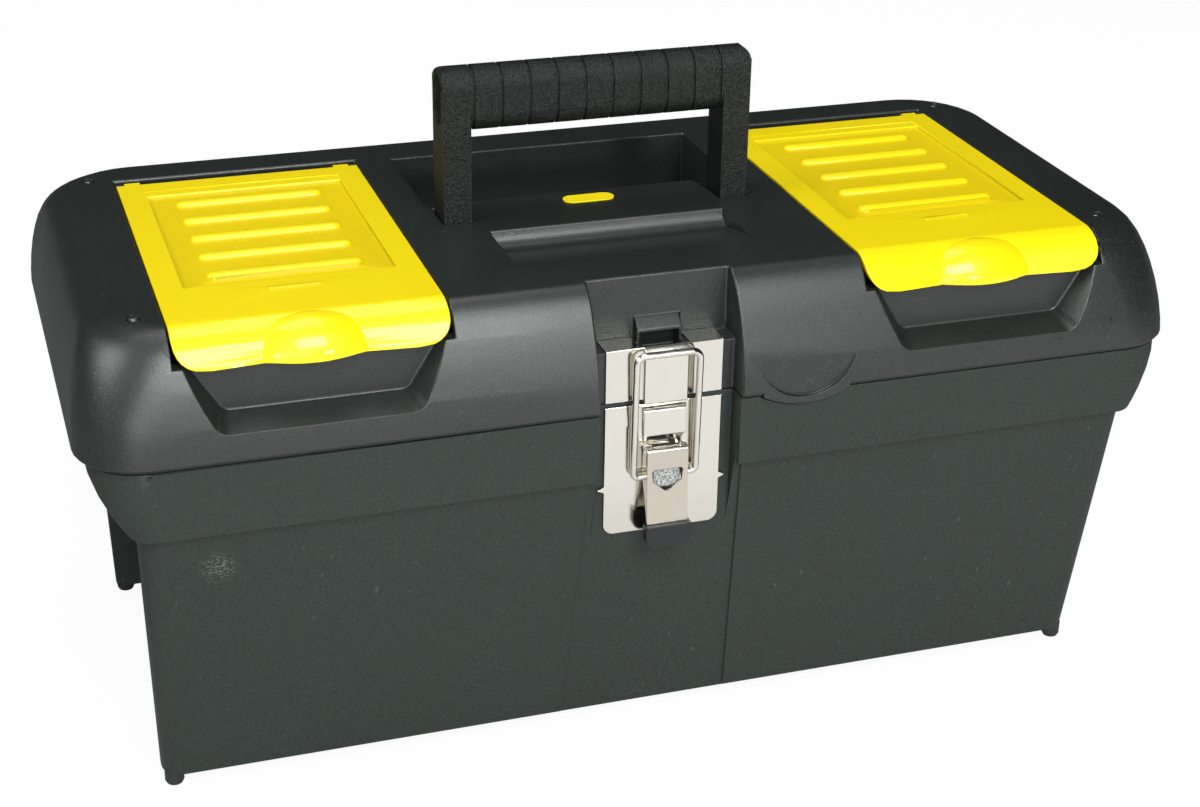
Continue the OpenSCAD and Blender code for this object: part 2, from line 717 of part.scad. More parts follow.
// Small hood on the recess's back wall, above the latch
module latch_hood() {
    along_x(-hood_half, hood_half)
        polygon([[recess_y + 1, keeper_top - sheet - 1], [hood_y, keeper_top - sheet - 1],
                 [hood_y, keeper_top + 3.8], [recess_y - 0.6, keeper_top + 7.4], [recess_y + 1, keeper_top + 7.8]]);
}

module lid_shell() {
    place(lid_colour)
    difference() {
        union() {
            difference() {
                loft(lid_slices(0));
                translate([0, 0, -eps]) loft(lid_slices(wall));
            }
            intersection() {
                loft(lid_slices(0));
                lid_blocks();
            }
            lid_knuckles();
            // thumb catch that hangs over the tub's band
            intersection() {
                rod_y_axis(catch_r, catch_x, -half_y, -band_hy + 1.6 - swing_gap, parting_z - catch_sag + catch_r);
                box(catch_x - catch_half, catch_x + catch_half, -half_y, 0, parting_z - 12, lid_bottom + 3);
            }
        }
        lid_well();
        // pivots of the handle
        rod_x(pivot_d / 2 + hold_fit, -well_half - skirt - 1, -post_in + slot_gap + 4, handle_y, pivot_z);
        rod_x(pivot_d / 2 + hold_fit, post_in - slot_gap - 4, well_half + skirt + 1, handle_y, pivot_z);
        // pocket in front of the handle: steep behind, running out at the front
        along_x(-scoop_length / 2, scoop_length / 2)
            polygon(concat(arc(scoop_rear - scoop_depth, lid_top, scoop_depth, 0, -90),
                           [[scoop_rear - scoop_width, lid_top], [scoop_rear - scoop_width, lid_top + 2],
                            [scoop_rear, lid_top + 2]]));
        // seat of the blank plate
        translate([0, plate_seat_y(), lid_top - 1.4]) linear_extrude(3) pill(plate_length + 0.6, plate_width + 0.6);
        // latch recess: open above the ledge, shallow beside the plate
        difference() {
            mid_box(recess_half, -half_y - 1, recess_y, keeper_top - sheet, lid_top + 1);
            latch_hood();
        }
        mid_box(recess_half, -half_y - 1, seat_y, lid_bottom - 1, keeper_top);
        // mouth of the hood, open to the hollow under the ledge
        mid_box(mouth_half, seat_y + 1.2, recess_y + 1.2, keeper_top - sheet - skirt - 1, keeper_top + 2.6);
        // hollow behind the latch
        mid_box(recess_half - 1, seat_y + skirt, recess_y, lid_bottom - 1, keeper_top - sheet - skirt);
        for (side = [-1, 1]) {
            // organiser opening and the hollow under its lip
            box(side * org_x - cut_half, side * org_x + cut_half, pocket_back + skirt, cut_rear,
                lid_top - 9, lid_top + 1);
            box(side * org_x - cut_half, side * org_x + cut_half, -half_y - 1, pocket_back + skirt + eps,
                lip_z + 1, lid_top + 1);
            lip_pocket(side);
            for (y = [screw_rear, screw_front]) {
                translate([side * (org_x + screw_x), y, lid_top - 1.8]) cylinder(r = 2.7, h = 3);
                translate([side * (org_x + screw_x), y, 0]) cylinder(r = screw_r + 0.2, h = lid_top);
            }
            // slots for the keeper plate's tabs
            box(side * 14 - 3.2, side * 14 + 3.2, seat_y - 1, seat_y + skirt + 2.4, parting_z + 7.8, parting_z + 9.2);
            // room for the tub's knuckles, and the pin's bore
            for (out = [-1, 1])
                rod_x(knuckle_d / 2 + swing_gap, side * hinge_x + out * hinge_length * 3 / 8 - hinge_length / 8 - 0.3,
                      side * hinge_x + out * hinge_length * 3 / 8 + hinge_length / 8 + 0.3, hinge_y, hinge_z);
            rod_x(hinge_pin_d / 2 + run_fit, side * hinge_x - hinge_length / 2, side * hinge_x + hinge_length / 2,
                  hinge_y, hinge_z);
        }
        // dish for the thumb above the catch
        rod_y_axis(dish_r, catch_x, -half_y - 1, -half_y + 1.4, parting_z + 17.9, $fn = 96);
    }
}

function plate_seat_y() = -1.2;

// Flat shape with round ends
module pill(length, width) {
    square([length - width, width], center = true);
    for (side = [-1, 1]) translate([side * (length - width) / 2, 0]) circle(d = width);
}

module blank_plate() {
    place(yellow)
        translate([0, plate_seat_y(), lid_top - 1.4]) linear_extrude(1.7) pill(plate_length, plate_width);
}

// ---- organisers ----

module organizer_bin(side) {
    h = bin_half;
    rail_rear = cut_rear + 2.6;
    place("#34383a")
    difference() {
        translate([side * org_x, 0, 0])
        difference() {
            union() {
                box(-h, h, bin_front, bin_rear, bin_floor, flange_top);
                // flange under the lid's top, with an ear at each outer screw
                difference() {
                    box(-cut_half - 2.6, cut_half + 2.6, flange_front, rail_rear, flange_top - 2, flange_top);
                    box(-cut_half - 0.2, cut_half + 0.2, bin_rear - eps, cut_rear + 0.4, flange_top - 3, flange_top + 1);
                }
                for (y = [screw_rear, screw_front])
                    hull() {
                        translate([side * screw_x, y, flange_top - 5.2]) cylinder(r = 4.4, h = 2, $fn = 24);
                        translate([side * (bin_half - 1), y > 0 ? y - 4 : y, flange_top - 5.2])
                            cylinder(r = 4.4, h = 2, $fn = 24);
                    }
                // rail behind the bin that carries the hinge rod on two lugs
                box(-cut_half + 0.4, cut_half - 0.4, bin_rear - eps, rail_rear, rail_z - 2, rail_z);
                box(-cut_half - 2.6, cut_half + 2.6, cut_rear + 0.4, rail_rear, rail_z - 2, flange_top - eps);
                for (end = [-1, 1])
                    along_x(end * (cut_half - 1.7) - 1.3, end * (cut_half - 1.7) + 1.3)
                        union() {
                            translate([rod_y, rod_z]) circle(r = lug_r);
                            square_at(rod_y - lug_r + 0.1, rail_z - 1, rod_y + lug_r - 0.1, rod_z);
                        }
            }
            // compartments between the cross walls
            cells = bin_dividers + 1;
            pitch = (bin_rear - bin_front - bin_wall) / cells;
            for (i = [0:cells - 1])
                box(-h + bin_wall, h - bin_wall, bin_front + bin_wall + i * pitch, bin_front + (i + 1) * pitch,
                    bin_floor + bin_wall, lid_top + 1);
            rod_x(rod_r + hold_fit, -cut_half, cut_half, rod_y, rod_z);
            for (y = [screw_rear, screw_front])
                translate([side * screw_x, y, 0]) cylinder(r = screw_r + hold_fit, h = lid_top);
        }
    }
}

module organizer_bin_left() { organizer_bin(-1); }
module organizer_bin_right() { organizer_bin(1); }

module organizer_rod(side) {
    place("#55585a")
        rod_x(rod_r, side * org_x - cut_half + 0.6, side * org_x + cut_half - 0.6, rod_y, rod_z);
}

module organizer_rod_left() { organizer_rod(-1); }
module organizer_rod_right() { organizer_rod(1); }

module organizer_screws() {
    place("#9a9da0")
        for (side = [-1, 1], y = [screw_rear, screw_front])
            translate([side * (org_x + screw_x), y, 0]) {
                translate([0, 0, lid_top - 1.8]) cylinder(r = 2.3, h = 1.2);
                translate([0, 0, flange_top - 8]) cylinder(r = screw_r, h = lid_top - 1.7 - flange_top + 8);
            }
}

// Side view of an organiser lid: flat top, then a lip that turns down at the front
module org_profile(inset) {
    bend = 15;
    lip_y = -(half_y - 7.4);
    cz = lid_top - bend;
    a_end = asin((lip_z - cz) / bend);
    polygon(concat([[org_rear, lid_top - org_sheet], [org_rear, lid_top - inset]],
                   arc(lip_y + bend, cz, bend - inset, 90, 180 - a_end, 10),
                   arc(lip_y + bend, cz, bend - org_sheet, 180 - a_end, 90, 10)));
}

// Thumb dome on the lip: a ring of round section, so it is wide and shallow
module thumb_dome(r) {
    ring = 41;
    translate([0, -(half_y - 21) + ring, lid_top - 16.5])
        rotate_extrude($fn = 96) translate([ring, 0]) circle(r = r, $fn = 64);
}

module organizer_lid(side) {
    h = org_length / 2;
    panel = h - 9.6;
    panel_rear = org_rear - 8.5;
    panel_front = -48.5;
    rib_first = panel_rear - 17.5;
    rib_last = panel_front + 8.5;
    knuckle = rod_r + 1.2;
    dome_half = 17;
    place(yellow)
    translate([side * org_x, 0, 0])
    difference() {
        union() {
            intersection() {
                along_x(-h, h) org_profile(0);
                // front corners of the lip are rounded
                along_y(-half_y, half_y)
                    polygon(concat([[-h, lid_top + 1]], arc(-h + 9, lip_z + 9, 9, 180, 270),
                                   arc(h - 9, lip_z + 9, 9, 270, 360), [[h, lid_top + 1]]));
            }
            intersection() {
                thumb_dome(16.5);
                along_y(-half_y, -(half_y - 19))
                    polygon(concat([[-dome_half - 2, lid_top], [-dome_half - 2, lip_z]],
                                   [for (i = [-4:4]) [dome_half * i / 4, lip_z - 1.3 * (1 - pow(i / 4, 2))]],
                                   [[dome_half + 2, lip_z], [dome_half + 2, lid_top]]));
            }
            for (end = [-1, 1]) {
                rod_x(knuckle, end * (h - 6) - 3, end * (h - 6) + 3, rod_y, rod_z);
                box(end * (h - 6) - 3, end * (h - 6) + 3, org_rear - 1, rod_y, rod_z - 0.4, rod_z + knuckle - 0.1);
            }
            // short ridge on the frame in front of the panel
            translate([0, panel_front - 8.5, lid_top - 0.5]) linear_extrude(1) pill(18, 1.8);
        }
        // sunk panel with ribs left standing
        difference() {
            box(-panel, panel, panel_front, panel_rear, lid_top - 1.3, lid_top + 1);
            box(-panel - 1, panel + 1, panel_rear - 5, panel_rear, lid_top - 2, lid_top - 0.3);
            for (i = [0:rib_count - 1])
                translate([0, rib_first + (rib_last - rib_first) * i / (rib_count - 1), lid_top - 2])
                    linear_extrude(1.9) pill(rib_length, 4.6);
        }
        rod_x(rod_r + run_fit, -h, h, rod_y, rod_z);
        // rear corners clear the bin's lugs
        for (end = [-1, 1])
            rod_x(lug_r + swing_gap, end * (h - 0.5) - 2.7, end * (h - 0.5) + 2.7, rod_y, rod_z);
        // hollow behind the thumb dome
        intersection() {
            thumb_dome(16.5 - org_sheet);
            box(-dome_half - 2.5, dome_half + 2.5, -half_y, -(half_y - 20), lip_z - 3, lid_top - org_sheet);
        }
    }
}

module organizer_lid_left() { organizer_lid(-1); }
module organizer_lid_right() { organizer_lid(1); }

// ---- handle ----

module handle_pivot(side) {
    x0 = side > 0 ? post_in - slot_gap - 2.4 : -well_half - 0.2;
    place("#b8bcc0") rod_x(pivot_d / 2, x0, x0 + post_width + 5, handle_y, pivot_z);
}

module handle_pivot_left() { handle_pivot(-1); }
module handle_pivot_right() { handle_pivot(1); }

// Section of the grip: straight sides, round top and bottom
module grip_section(inset) {
    r = grip_depth / 2;
    for (z = [grip_top - r, grip_top - grip_height + r]) translate([handle_y, z]) circle(r = r - inset);
    square_at(handle_y - r + inset, grip_top - grip_height + r, handle_y + r - inset, grip_top - r);
}

module handle() {
    r = grip_depth / 2;
    round_r = 3.6;
    place(black)
    difference() {
        union() {
            along_x(-post_in - 1, post_in + 1) grip_section(0);
            for (side = [-1, 1])
                along_x(side > 0 ? post_in : -post_out, side > 0 ? post_out : -post_in)
                    union() {
                        grip_section(0);
                        square_at(handle_y - r, pivot_z, handle_y + r, grip_top - r);
                        translate([handle_y, pivot_z]) circle(r = r);
                    }
        }
        along_x(-post_out - 1, post_out + 1) grip_section(2.6);
        rod_x(pivot_d / 2 + run_fit, -post_out - 1, post_out + 1, handle_y, pivot_z);
        for (i = [0:grip_grooves - 1])
            let (x = (i - (grip_grooves - 1) / 2) * groove_pitch)
                along_x(x - 0.45, x + 0.45)
                    difference() {
                        grip_section(-1);
                        grip_section(0.8);
                    }
        // rounded outer top corners
        for (side = [-1, 1])
            difference() {
                box(side > 0 ? post_out - round_r : -post_out - 1, side > 0 ? post_out + 1 : -post_out + round_r,
                    handle_y - r - 1, handle_y + r + 1, grip_top - round_r, grip_top + 1);
                rod_y_axis(round_r, side * (post_out - round_r), handle_y - r - 2, handle_y + r + 2,
                           grip_top - round_r);
            }
    }
}

base_tub();
tote_tray();
hinge_pin_left();
hinge_pin_right();
latch_base_plate();
latch_lever_pin();
latch_staple();
lid_shell();
organizer_bin_left();
organizer_bin_right();
organizer_rod_left();
organizer_rod_right();
organizer_screws();
blank_plate();
latch_keeper_plate();
handle_pivot_left();
handle_pivot_right();
organizer_lid_left();
organizer_lid_right();
handle();
latch_lever();
latch_lever_tip();
latch_bail();
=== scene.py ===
# %% [markdown]
# # A moulded tool case, dressed for the camera
# The case is a tapered tub with a domed lid, two yellow small-parts organisers let into the lid,
# a folding handle and one plated toggle latch. Its solids arrive as a fixed frame, already in
# metres and in place, and every piece made here rides on one of the frame's moving bodies.

# %% Load the frame
import json
import math

import bmesh
import bpy
from mathutils import Matrix, Vector


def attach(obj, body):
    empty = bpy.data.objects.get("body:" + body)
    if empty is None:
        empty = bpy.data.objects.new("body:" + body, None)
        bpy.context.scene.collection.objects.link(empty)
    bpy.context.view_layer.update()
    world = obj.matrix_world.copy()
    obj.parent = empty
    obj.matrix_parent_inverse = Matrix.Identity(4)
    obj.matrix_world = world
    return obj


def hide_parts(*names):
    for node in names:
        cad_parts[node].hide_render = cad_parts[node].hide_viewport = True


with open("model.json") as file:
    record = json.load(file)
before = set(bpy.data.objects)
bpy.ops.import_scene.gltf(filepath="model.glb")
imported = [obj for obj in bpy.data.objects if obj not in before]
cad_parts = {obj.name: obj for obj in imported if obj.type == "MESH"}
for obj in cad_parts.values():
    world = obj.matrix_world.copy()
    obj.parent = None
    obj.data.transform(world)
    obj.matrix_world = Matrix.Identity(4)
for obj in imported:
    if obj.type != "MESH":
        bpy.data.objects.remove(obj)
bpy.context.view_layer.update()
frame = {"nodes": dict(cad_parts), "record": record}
print("nodes:", len(frame["nodes"]))

# %% [markdown]
# ## The camera
# The photograph was taken from the front left and above. Its camera could be turned by eye until
# the edges agree, but matching the case's symmetric corners and parallel edges by least squares
# is exact, so the numbers below are a place, three angles and a focal length. A camera looks
# down its own -Z: the pitch is counted from straight down, and the small roll comes last.

# %% Camera
CAMERA_PLACE = (-0.2394, -0.7409, 0.4641)
CAMERA_YAW, CAMERA_PITCH, CAMERA_ROLL = 18.41, 25.44, 0.92
FOCAL_LENGTH = 65.11  # mm on a 36 mm wide sensor

camera_data = bpy.data.cameras.new("camera")
camera_data.sensor_fit = "HORIZONTAL"
camera_data.sensor_width = 36
camera_data.lens = FOCAL_LENGTH
camera_data.clip_end = 20
camera = bpy.data.objects.new("camera", camera_data)
bpy.context.scene.collection.objects.link(camera)
camera.matrix_world = (
    Matrix.Translation(CAMERA_PLACE)
    @ Matrix.Rotation(math.radians(-CAMERA_YAW), 4, "Z")
    @ Matrix.Rotation(math.radians(90 - CAMERA_PITCH), 4, "X")
    @ Matrix.Rotation(math.radians(CAMERA_ROLL), 4, "Z")
)
bpy.context.scene.camera = camera
bpy.context.scene.view_settings.view_transform = "Standard"
print("camera distance:", round(camera.matrix_world.translation.length, 3), "m")

# %% [markdown]
# ## Light
# Dark plastic has almost no colour of its own, so its shape is read from soft reflections. A
# single hard lamp would give small hot spots. Panels are used instead: one in front and above
# draws the sheen on the lid's front bend, one on the left opens the tub's end, a low one fills
# the front, and one overhead lights the top. Two small ones put the bright spots on the yellow
# thumb domes.

# %% Lamps
def soft_lamp(name, place, target, size, watts, colour=(1, 1, 1)):
    """Rectangular area lamp that faces a point."""
    data = bpy.data.lights.new(name, "AREA")
    data.shape = "RECTANGLE"
    data.size, data.size_y = size
    data.energy = watts
    data.color = colour
    lamp = bpy.data.objects.new(name, data)
    bpy.context.scene.collection.objects.link(lamp)
    direction = Vector(target) - Vector(place)
    lamp.matrix_world = Matrix.Translation(place) @ direction.to_track_quat("-Z", "Y").to_matrix().to_4x4()
    print(f"{name}: {watts} W from {direction.length:.2f} m")
    return lamp


soft_lamp("key_panel", (0.08, -1.65, 1.55), (0, 0, 0.12), (0.95, 1.0), 43, (0.955, 1.0, 0.98))
soft_lamp("left_panel", (-1.45, -0.1, 1.2), (-0.1, 0, 0.12), (0.8, 0.8), 12.5, (0.98, 0.99, 1.0))
soft_lamp("low_panel", (-0.42, -1.62, 0.50), (0, 0, 0.14), (0.8, 0.7), 4.5, (0.96, 1.0, 0.99))
soft_lamp("top_panel", (-0.1, 0.3, 2.1), (0, 0.0, 0.15), (1.1, 1.1), 12)
soft_lamp("dome_spark_right", (0.40, -1.50, 0.42), (0, -0.1, 0.17), (0.17, 0.17), 3.2)
soft_lamp("dome_spark_left", (-0.78, -1.42, 0.52), (-0.12, -0.1, 0.17), (0.10, 0.20), 2.0)

# %% [markdown]
# ## Node helpers
# The room, the floor, the finishes and the repeated parts are all trees of nodes. Made one
# statement at a time they would fill pages, so a few helpers make a node, set its inputs and
# wire it in one line. An input takes either a plain value or another node's output.

# %% Node helpers
def plug(tree, socket, value):
    """Wires an output to a socket, or writes a plain value there."""
    if isinstance(value, bpy.types.NodeSocket):
        tree.links.new(value, socket)
    elif value is not None:
        socket.default_value = value


def add(tree, kind, settings=None, **inputs):
    """Node with its settings and input values; underscores in a name stand for spaces."""
    node = tree.nodes.new(kind)
    for key, value in (settings or {}).items():
        setattr(node, key, value)
    for key, value in inputs.items():
        plug(tree, node.inputs[key.replace("_", " ")], value)
    return node


def math_node(tree, operation, a, b=None, clamp=False):
    """Result of one sum on two numbers or outputs."""
    node = tree.nodes.new("ShaderNodeMath")
    node.operation, node.use_clamp = operation, clamp
    plug(tree, node.inputs[0], a)
    plug(tree, node.inputs[1], b)
    return node.outputs[0]


def ramp(tree, value, low, high, to_low=0.0, to_high=1.0):
    """Maps low..high to to_low..to_high and stops at both ends."""
    return add(tree, "ShaderNodeMapRange", Value=value, From_Min=low, From_Max=high,
               To_Min=to_low, To_Max=to_high).outputs[0]


def mix_shaders(tree, share, first, second):
    mixed = tree.nodes.new("ShaderNodeMixShader")
    for socket, value in zip(mixed.inputs, (share, first, second)):
        plug(tree, socket, value)
    return mixed.outputs[0]


def mix_colours(tree, share, first, second):
    """Colour between two others, each an output or a plain colour."""
    mixed = add(tree, "ShaderNodeMix", {"data_type": "RGBA"})
    for index, value in ((0, share), (6, first), (7, second)):
        plug(tree, mixed.inputs[index], value)
    return mixed.outputs[2]


print("node helpers ready")

# %% [markdown]
# ## The room
# The photograph's background is plain white, but a room that is white all round would make dark
# plastic look like milk. So the world is white only to the camera's own rays. A mirror sees a
# room that is bright at the front left and fades to dark at the back and the right, and matt
# surfaces get a faint even light.

# %% What a mirror sees
world = bpy.data.worlds.new("studio")
bpy.context.scene.world = world
world.use_nodes = True
room = world.node_tree
room.nodes.clear()
ray = room.nodes.new("ShaderNodeLightPath").outputs
sky = room.nodes.new("ShaderNodeTexCoord").outputs["Generated"]
towards = add(room, "ShaderNodeSeparateXYZ", Vector=sky).outputs
front_light = ramp(room, towards["Y"], 0.25, -0.45, 0.02, 0.50)
right_fade = ramp(room, towards["X"], 0.10, 0.48, 1.0, 0.05)
mirrored = math_node(room, "MULTIPLY", ray["Is Glossy Ray"], math_node(room, "MULTIPLY", front_light, right_fade))
print("room nodes so far:", len(room.nodes))

# %% White to the camera, soft grey to the object
AMBIENT = 0.30
seen = math_node(room, "MAXIMUM", ray["Is Camera Ray"], ray["Is Transmission Ray"])
matt = math_node(room, "MULTIPLY", math_node(room, "SUBTRACT", 1.0, ray["Is Glossy Ray"]), AMBIENT)
soft = add(room, "ShaderNodeBackground", Color=(0.97, 0.99, 1.0, 1), Strength=matt)
white = add(room, "ShaderNodeBackground", Color=(1, 1, 1, 1), Strength=1.0)
both = mix_shaders(room, math_node(room, "MAXIMUM", seen, mirrored), soft.outputs[0], white.outputs[0])
room.links.new(both, room.nodes.new("ShaderNodeOutputWorld").inputs[0])
print("ambient strength:", AMBIENT)

# %% [markdown]
# ## The floor
# The ground is a plain white sheet with a faint shadow. Raising the lamps until the sheet is
# white would bleach the case, so the sheet has a glow of its own that the camera sees and that
# lights nothing brightly, with a small share of matt white that takes the shadow. Mirrors see a
# pool of light in front of the case and a darker sheet round it.

# %% Floor
floor_mesh = bpy.data.meshes.new("floor")
floor_mesh.from_pydata([(-4, -4, 0), (4, -4, 0), (4, 6, 0), (-4, 6, 0)], [], [(0, 1, 2, 3)])
floor = bpy.data.objects.new("floor", floor_mesh)
bpy.context.scene.collection.objects.link(floor)
print("floor size:", tuple(round(side, 2) for side in floor.dimensions))

# %% White sheet
GLOW_SHARE = 0.93
paper = bpy.data.materials.new("white_sheet")
paper.use_nodes = True
sheet = paper.node_tree
sheet.nodes.clear()
ray = sheet.nodes.new("ShaderNodeLightPath").outputs
seen = math_node(sheet, "MAXIMUM", ray["Is Camera Ray"], ray["Is Transmission Ray"])
glowing = math_node(sheet, "MULTIPLY", math_node(sheet, "MAXIMUM", seen, ray["Is Glossy Ray"]), GLOW_SHARE)
away = add(sheet, "ShaderNodeVectorMath", {"operation": "DISTANCE"})
sheet.links.new(sheet.nodes.new("ShaderNodeTexCoord").outputs["Object"], away.inputs[0])
away.inputs[1].default_value = (0.15, -0.85, 0.0)
pool = ramp(sheet, away.outputs["Value"], 0.55, 1.0, 1.0, 0.12)
matt = add(sheet, "ShaderNodeBsdfDiffuse", Color=(0.92, 0.92, 0.92, 1))
glow = add(sheet, "ShaderNodeEmission", Strength=math_node(sheet, "MAXIMUM", seen, pool))
both = mix_shaders(sheet, glowing, matt.outputs[0], glow.outputs[0])
sheet.links.new(both, sheet.nodes.new("ShaderNodeOutputMaterial").inputs[0])
floor_mesh.materials.append(paper)
print("sheet glows with a share of", GLOW_SHARE)

# %% [markdown]
# ## Shared effects
# Some effects belong to more than one finish: the grain of a mould, the specks of handling, the
# unevenness of plated metal. Painted pictures could carry them, but a node group made from noise
# has no seams and works from any side. Each is built once with named sockets, and each finish
# places it with its own values. All of them read Object coordinates, which are metres here.

# %% Group helper
def new_group(name, inputs, outputs):
    """Shader node group with named sockets: inputs are (name, type, default)."""
    group = bpy.data.node_groups.new(name, "ShaderNodeTree")
    for label, kind, default in inputs:
        socket = group.interface.new_socket(label, in_out="INPUT", socket_type=kind)
        if default is not None:
            socket.default_value = default
    for label, kind in outputs:
        group.interface.new_socket(label, in_out="OUTPUT", socket_type=kind)
    print(name, "takes", [label for label, _, _ in inputs], "and gives", [label for label, _ in outputs])
    return group, group.nodes.new("NodeGroupInput").outputs, group.nodes.new("NodeGroupOutput").inputs


VECTOR, FLOAT = "NodeSocketVector", "NodeSocketFloat"

# %% [markdown]
# ### Mould grain
# A mould for such a case is etched, so the plastic has a fine grain. A real grain is a mass of
# rounded pits: noise mixed with soft cells comes close. The group also gives a slow mottle for
# uneven colour, and flecks, the tiny lights and darks that a grain shows from afar.

# %% Mould grain
grain_group, asked, given = new_group(
    "mould_grain",
    [("Vector", VECTOR, None), ("Scale", FLOAT, 900.0), ("Softness", FLOAT, 0.5)],
    [("Height", FLOAT), ("Mottle", FLOAT), ("Fleck", FLOAT)],
)
fine = add(grain_group, "ShaderNodeTexNoise", Vector=asked["Vector"], Scale=asked["Scale"],
           Detail=3.0, Roughness=asked["Softness"])
pits = add(grain_group, "ShaderNodeTexVoronoi", {"feature": "SMOOTH_F1"}, Vector=asked["Vector"],
           Scale=asked["Scale"], Smoothness=0.7)
pit_depth = math_node(grain_group, "MULTIPLY", pits.outputs["Distance"], 0.6)
cloud = add(grain_group, "ShaderNodeTexNoise", Vector=asked["Vector"], Scale=14.0, Detail=4.0, Roughness=0.6)
flecks = add(grain_group, "ShaderNodeTexNoise", Vector=asked["Vector"], Detail=1.0,
             Scale=math_node(grain_group, "MULTIPLY", asked["Scale"], 0.5))
grain_group.links.new(math_node(grain_group, "ADD", fine.outputs["Fac"], pit_depth), given["Height"])
grain_group.links.new(cloud.outputs["Fac"], given["Mottle"])
grain_group.links.new(ramp(grain_group, flecks.outputs["Fac"], 0.36, 0.66), given["Fleck"])
print("mould grain:", len(grain_group.nodes), "nodes")

# %% [markdown]
# ### Specks and hairs of handling
# Dark plastic shows dust specks and short pale hairs, more in some patches than in others. Cell
# centres make the specks, noise pulled long makes the hairs, and a slow noise picks the patches.

# %% Specks and hairs
wear_group, asked, given = new_group(
    "handling_wear", [("Vector", VECTOR, None), ("Scale", FLOAT, 60.0), ("Amount", FLOAT, 0.5)], [("Mask", FLOAT)])
patch = add(wear_group, "ShaderNodeTexNoise", Vector=asked["Vector"], Scale=9.0, Detail=2.0)
where = ramp(wear_group, patch.outputs["Fac"], 0.42, 0.66, 0.15)
cells = add(wear_group, "ShaderNodeTexVoronoi", Vector=asked["Vector"], Scale=asked["Scale"])
dots = ramp(wear_group, cells.outputs["Distance"], 0.10, 0.05)
pulled = add(wear_group, "ShaderNodeMapping", Vector=asked["Vector"], Scale=(1.0, 1.0, 0.45), Rotation=(0.3, 0.5, 0.2))
hairs = add(wear_group, "ShaderNodeTexNoise", Vector=pulled.outputs[0], Scale=420.0, Detail=1.0)
marks = math_node(wear_group, "MAXIMUM", dots, ramp(wear_group, hairs.outputs["Fac"], 0.73, 0.80))
patchy = math_node(wear_group, "MULTIPLY", marks, where)
wear_group.links.new(math_node(wear_group, "MULTIPLY", patchy, asked["Amount"], clamp=True), given["Mask"])
print("handling wear:", len(wear_group.nodes), "nodes")

# %% [markdown]
# ### Plated metal
# Thin plated sheet is never quite flat. A perfect mirror would look like glass, so a slow ripple
# bends what it mirrors, and a fine haze changes its colour and roughness.

# %% Plated metal
plate_group, asked, given = new_group(
    "plated_surface", [("Vector", VECTOR, None), ("Scale", FLOAT, 40.0)], [("Ripple", FLOAT), ("Cloud", FLOAT)])
wave = add(plate_group, "ShaderNodeTexNoise", Vector=asked["Vector"], Scale=asked["Scale"], Detail=2.0)
haze = add(plate_group, "ShaderNodeTexNoise", Vector=asked["Vector"], Scale=160.0, Detail=5.0, Roughness=0.65)
plate_group.links.new(wave.outputs["Fac"], given["Ripple"])
plate_group.links.new(haze.outputs["Fac"], given["Cloud"])
print("plated surface:", len(plate_group.nodes), "nodes")

# %% [markdown]
# ### A scuffed place
# The tub has one rubbed spot near its left end, a handful of short crossed scratches. Drawn lines
# would look drawn. Two sets of stretched noise, turned against each other and faded with the
# distance from the spot, look like scratches that a hard corner left.

# %% Scuff cluster
scuff_group, asked, given = new_group(
    "scuff_cluster", [("Vector", VECTOR, None), ("Centre", VECTOR, None), ("Reach", FLOAT, 0.008)], [("Mask", FLOAT)])
away = add(scuff_group, "ShaderNodeVectorMath", {"operation": "DISTANCE"})
scuff_group.links.new(asked["Vector"], away.inputs[0])
scuff_group.links.new(asked["Centre"], away.inputs[1])
far = math_node(scuff_group, "DIVIDE", away.outputs["Value"], asked["Reach"])
near = math_node(scuff_group, "SUBTRACT", 1.0, far, clamp=True)
strokes = []
for turn, stroke_scale in ((0.6, 2600.0), (-0.9, 2200.0)):
    slant = add(scuff_group, "ShaderNodeMapping", Vector=asked["Vector"], Rotation=(0.0, turn, 0.0), Scale=(0.35, 1.0, 1.0))
    threads = add(scuff_group, "ShaderNodeTexNoise", Vector=slant.outputs[0], Scale=stroke_scale, Detail=0.0)
    strokes.append(ramp(scuff_group, threads.outputs["Fac"], 0.63, 0.68))
crossed = math_node(scuff_group, "MAXIMUM", *strokes)
scuff_group.links.new(math_node(scuff_group, "MULTIPLY", crossed, near, clamp=True), given["Mask"])
print("scuff cluster:", len(strokes), "sets of strokes")

# %% [markdown]
# ### Painted shade on a panel's floor
# The sunk floor of each yellow lid's panel gets less light than its frame, and its colour is painted a
# little darker and more orange to stand in for that shade. A mask for the panel's height, behind the
# lip, picks the floor.

# %% Painted panel shade
panel_shade_group, asked, given = new_group("painted_panel_floor_shade", [("Vector", VECTOR, None)], [("Mask", FLOAT)])
axes = add(panel_shade_group, "ShaderNodeSeparateXYZ", Vector=asked["Vector"]).outputs
# the sunk floor, where shade is painted into the colour
sunk = math_node(panel_shade_group, "MULTIPLY", ramp(panel_shade_group, axes["Z"], 0.18045, 0.18025),
                 ramp(panel_shade_group, axes["Z"], 0.17900, 0.17950))
behind_lip = ramp(panel_shade_group, axes["Y"], -0.0500, -0.0490)
panel_shade_group.links.new(math_node(panel_shade_group, "MULTIPLY", sunk, behind_lip), given["Mask"])
print("painted panel shade:", len(panel_shade_group.nodes), "nodes")

# %% [markdown]
# ## Finishes
# A moulded plastic is one shader: a dark base colour, a roughness that the grain breaks up and a
# bump from the grain. Over the colour lie layers, such as specks or a scuff, and each finish
# names the layers it has. Uniform values, such as the coat, sit on the shader itself, and only
# what changes over the surface comes through nodes.

# %% Layers of colour
def shade(colour, factor):
    return tuple(min(1.0, part * factor) for part in colour[:3]) + (1.0,)


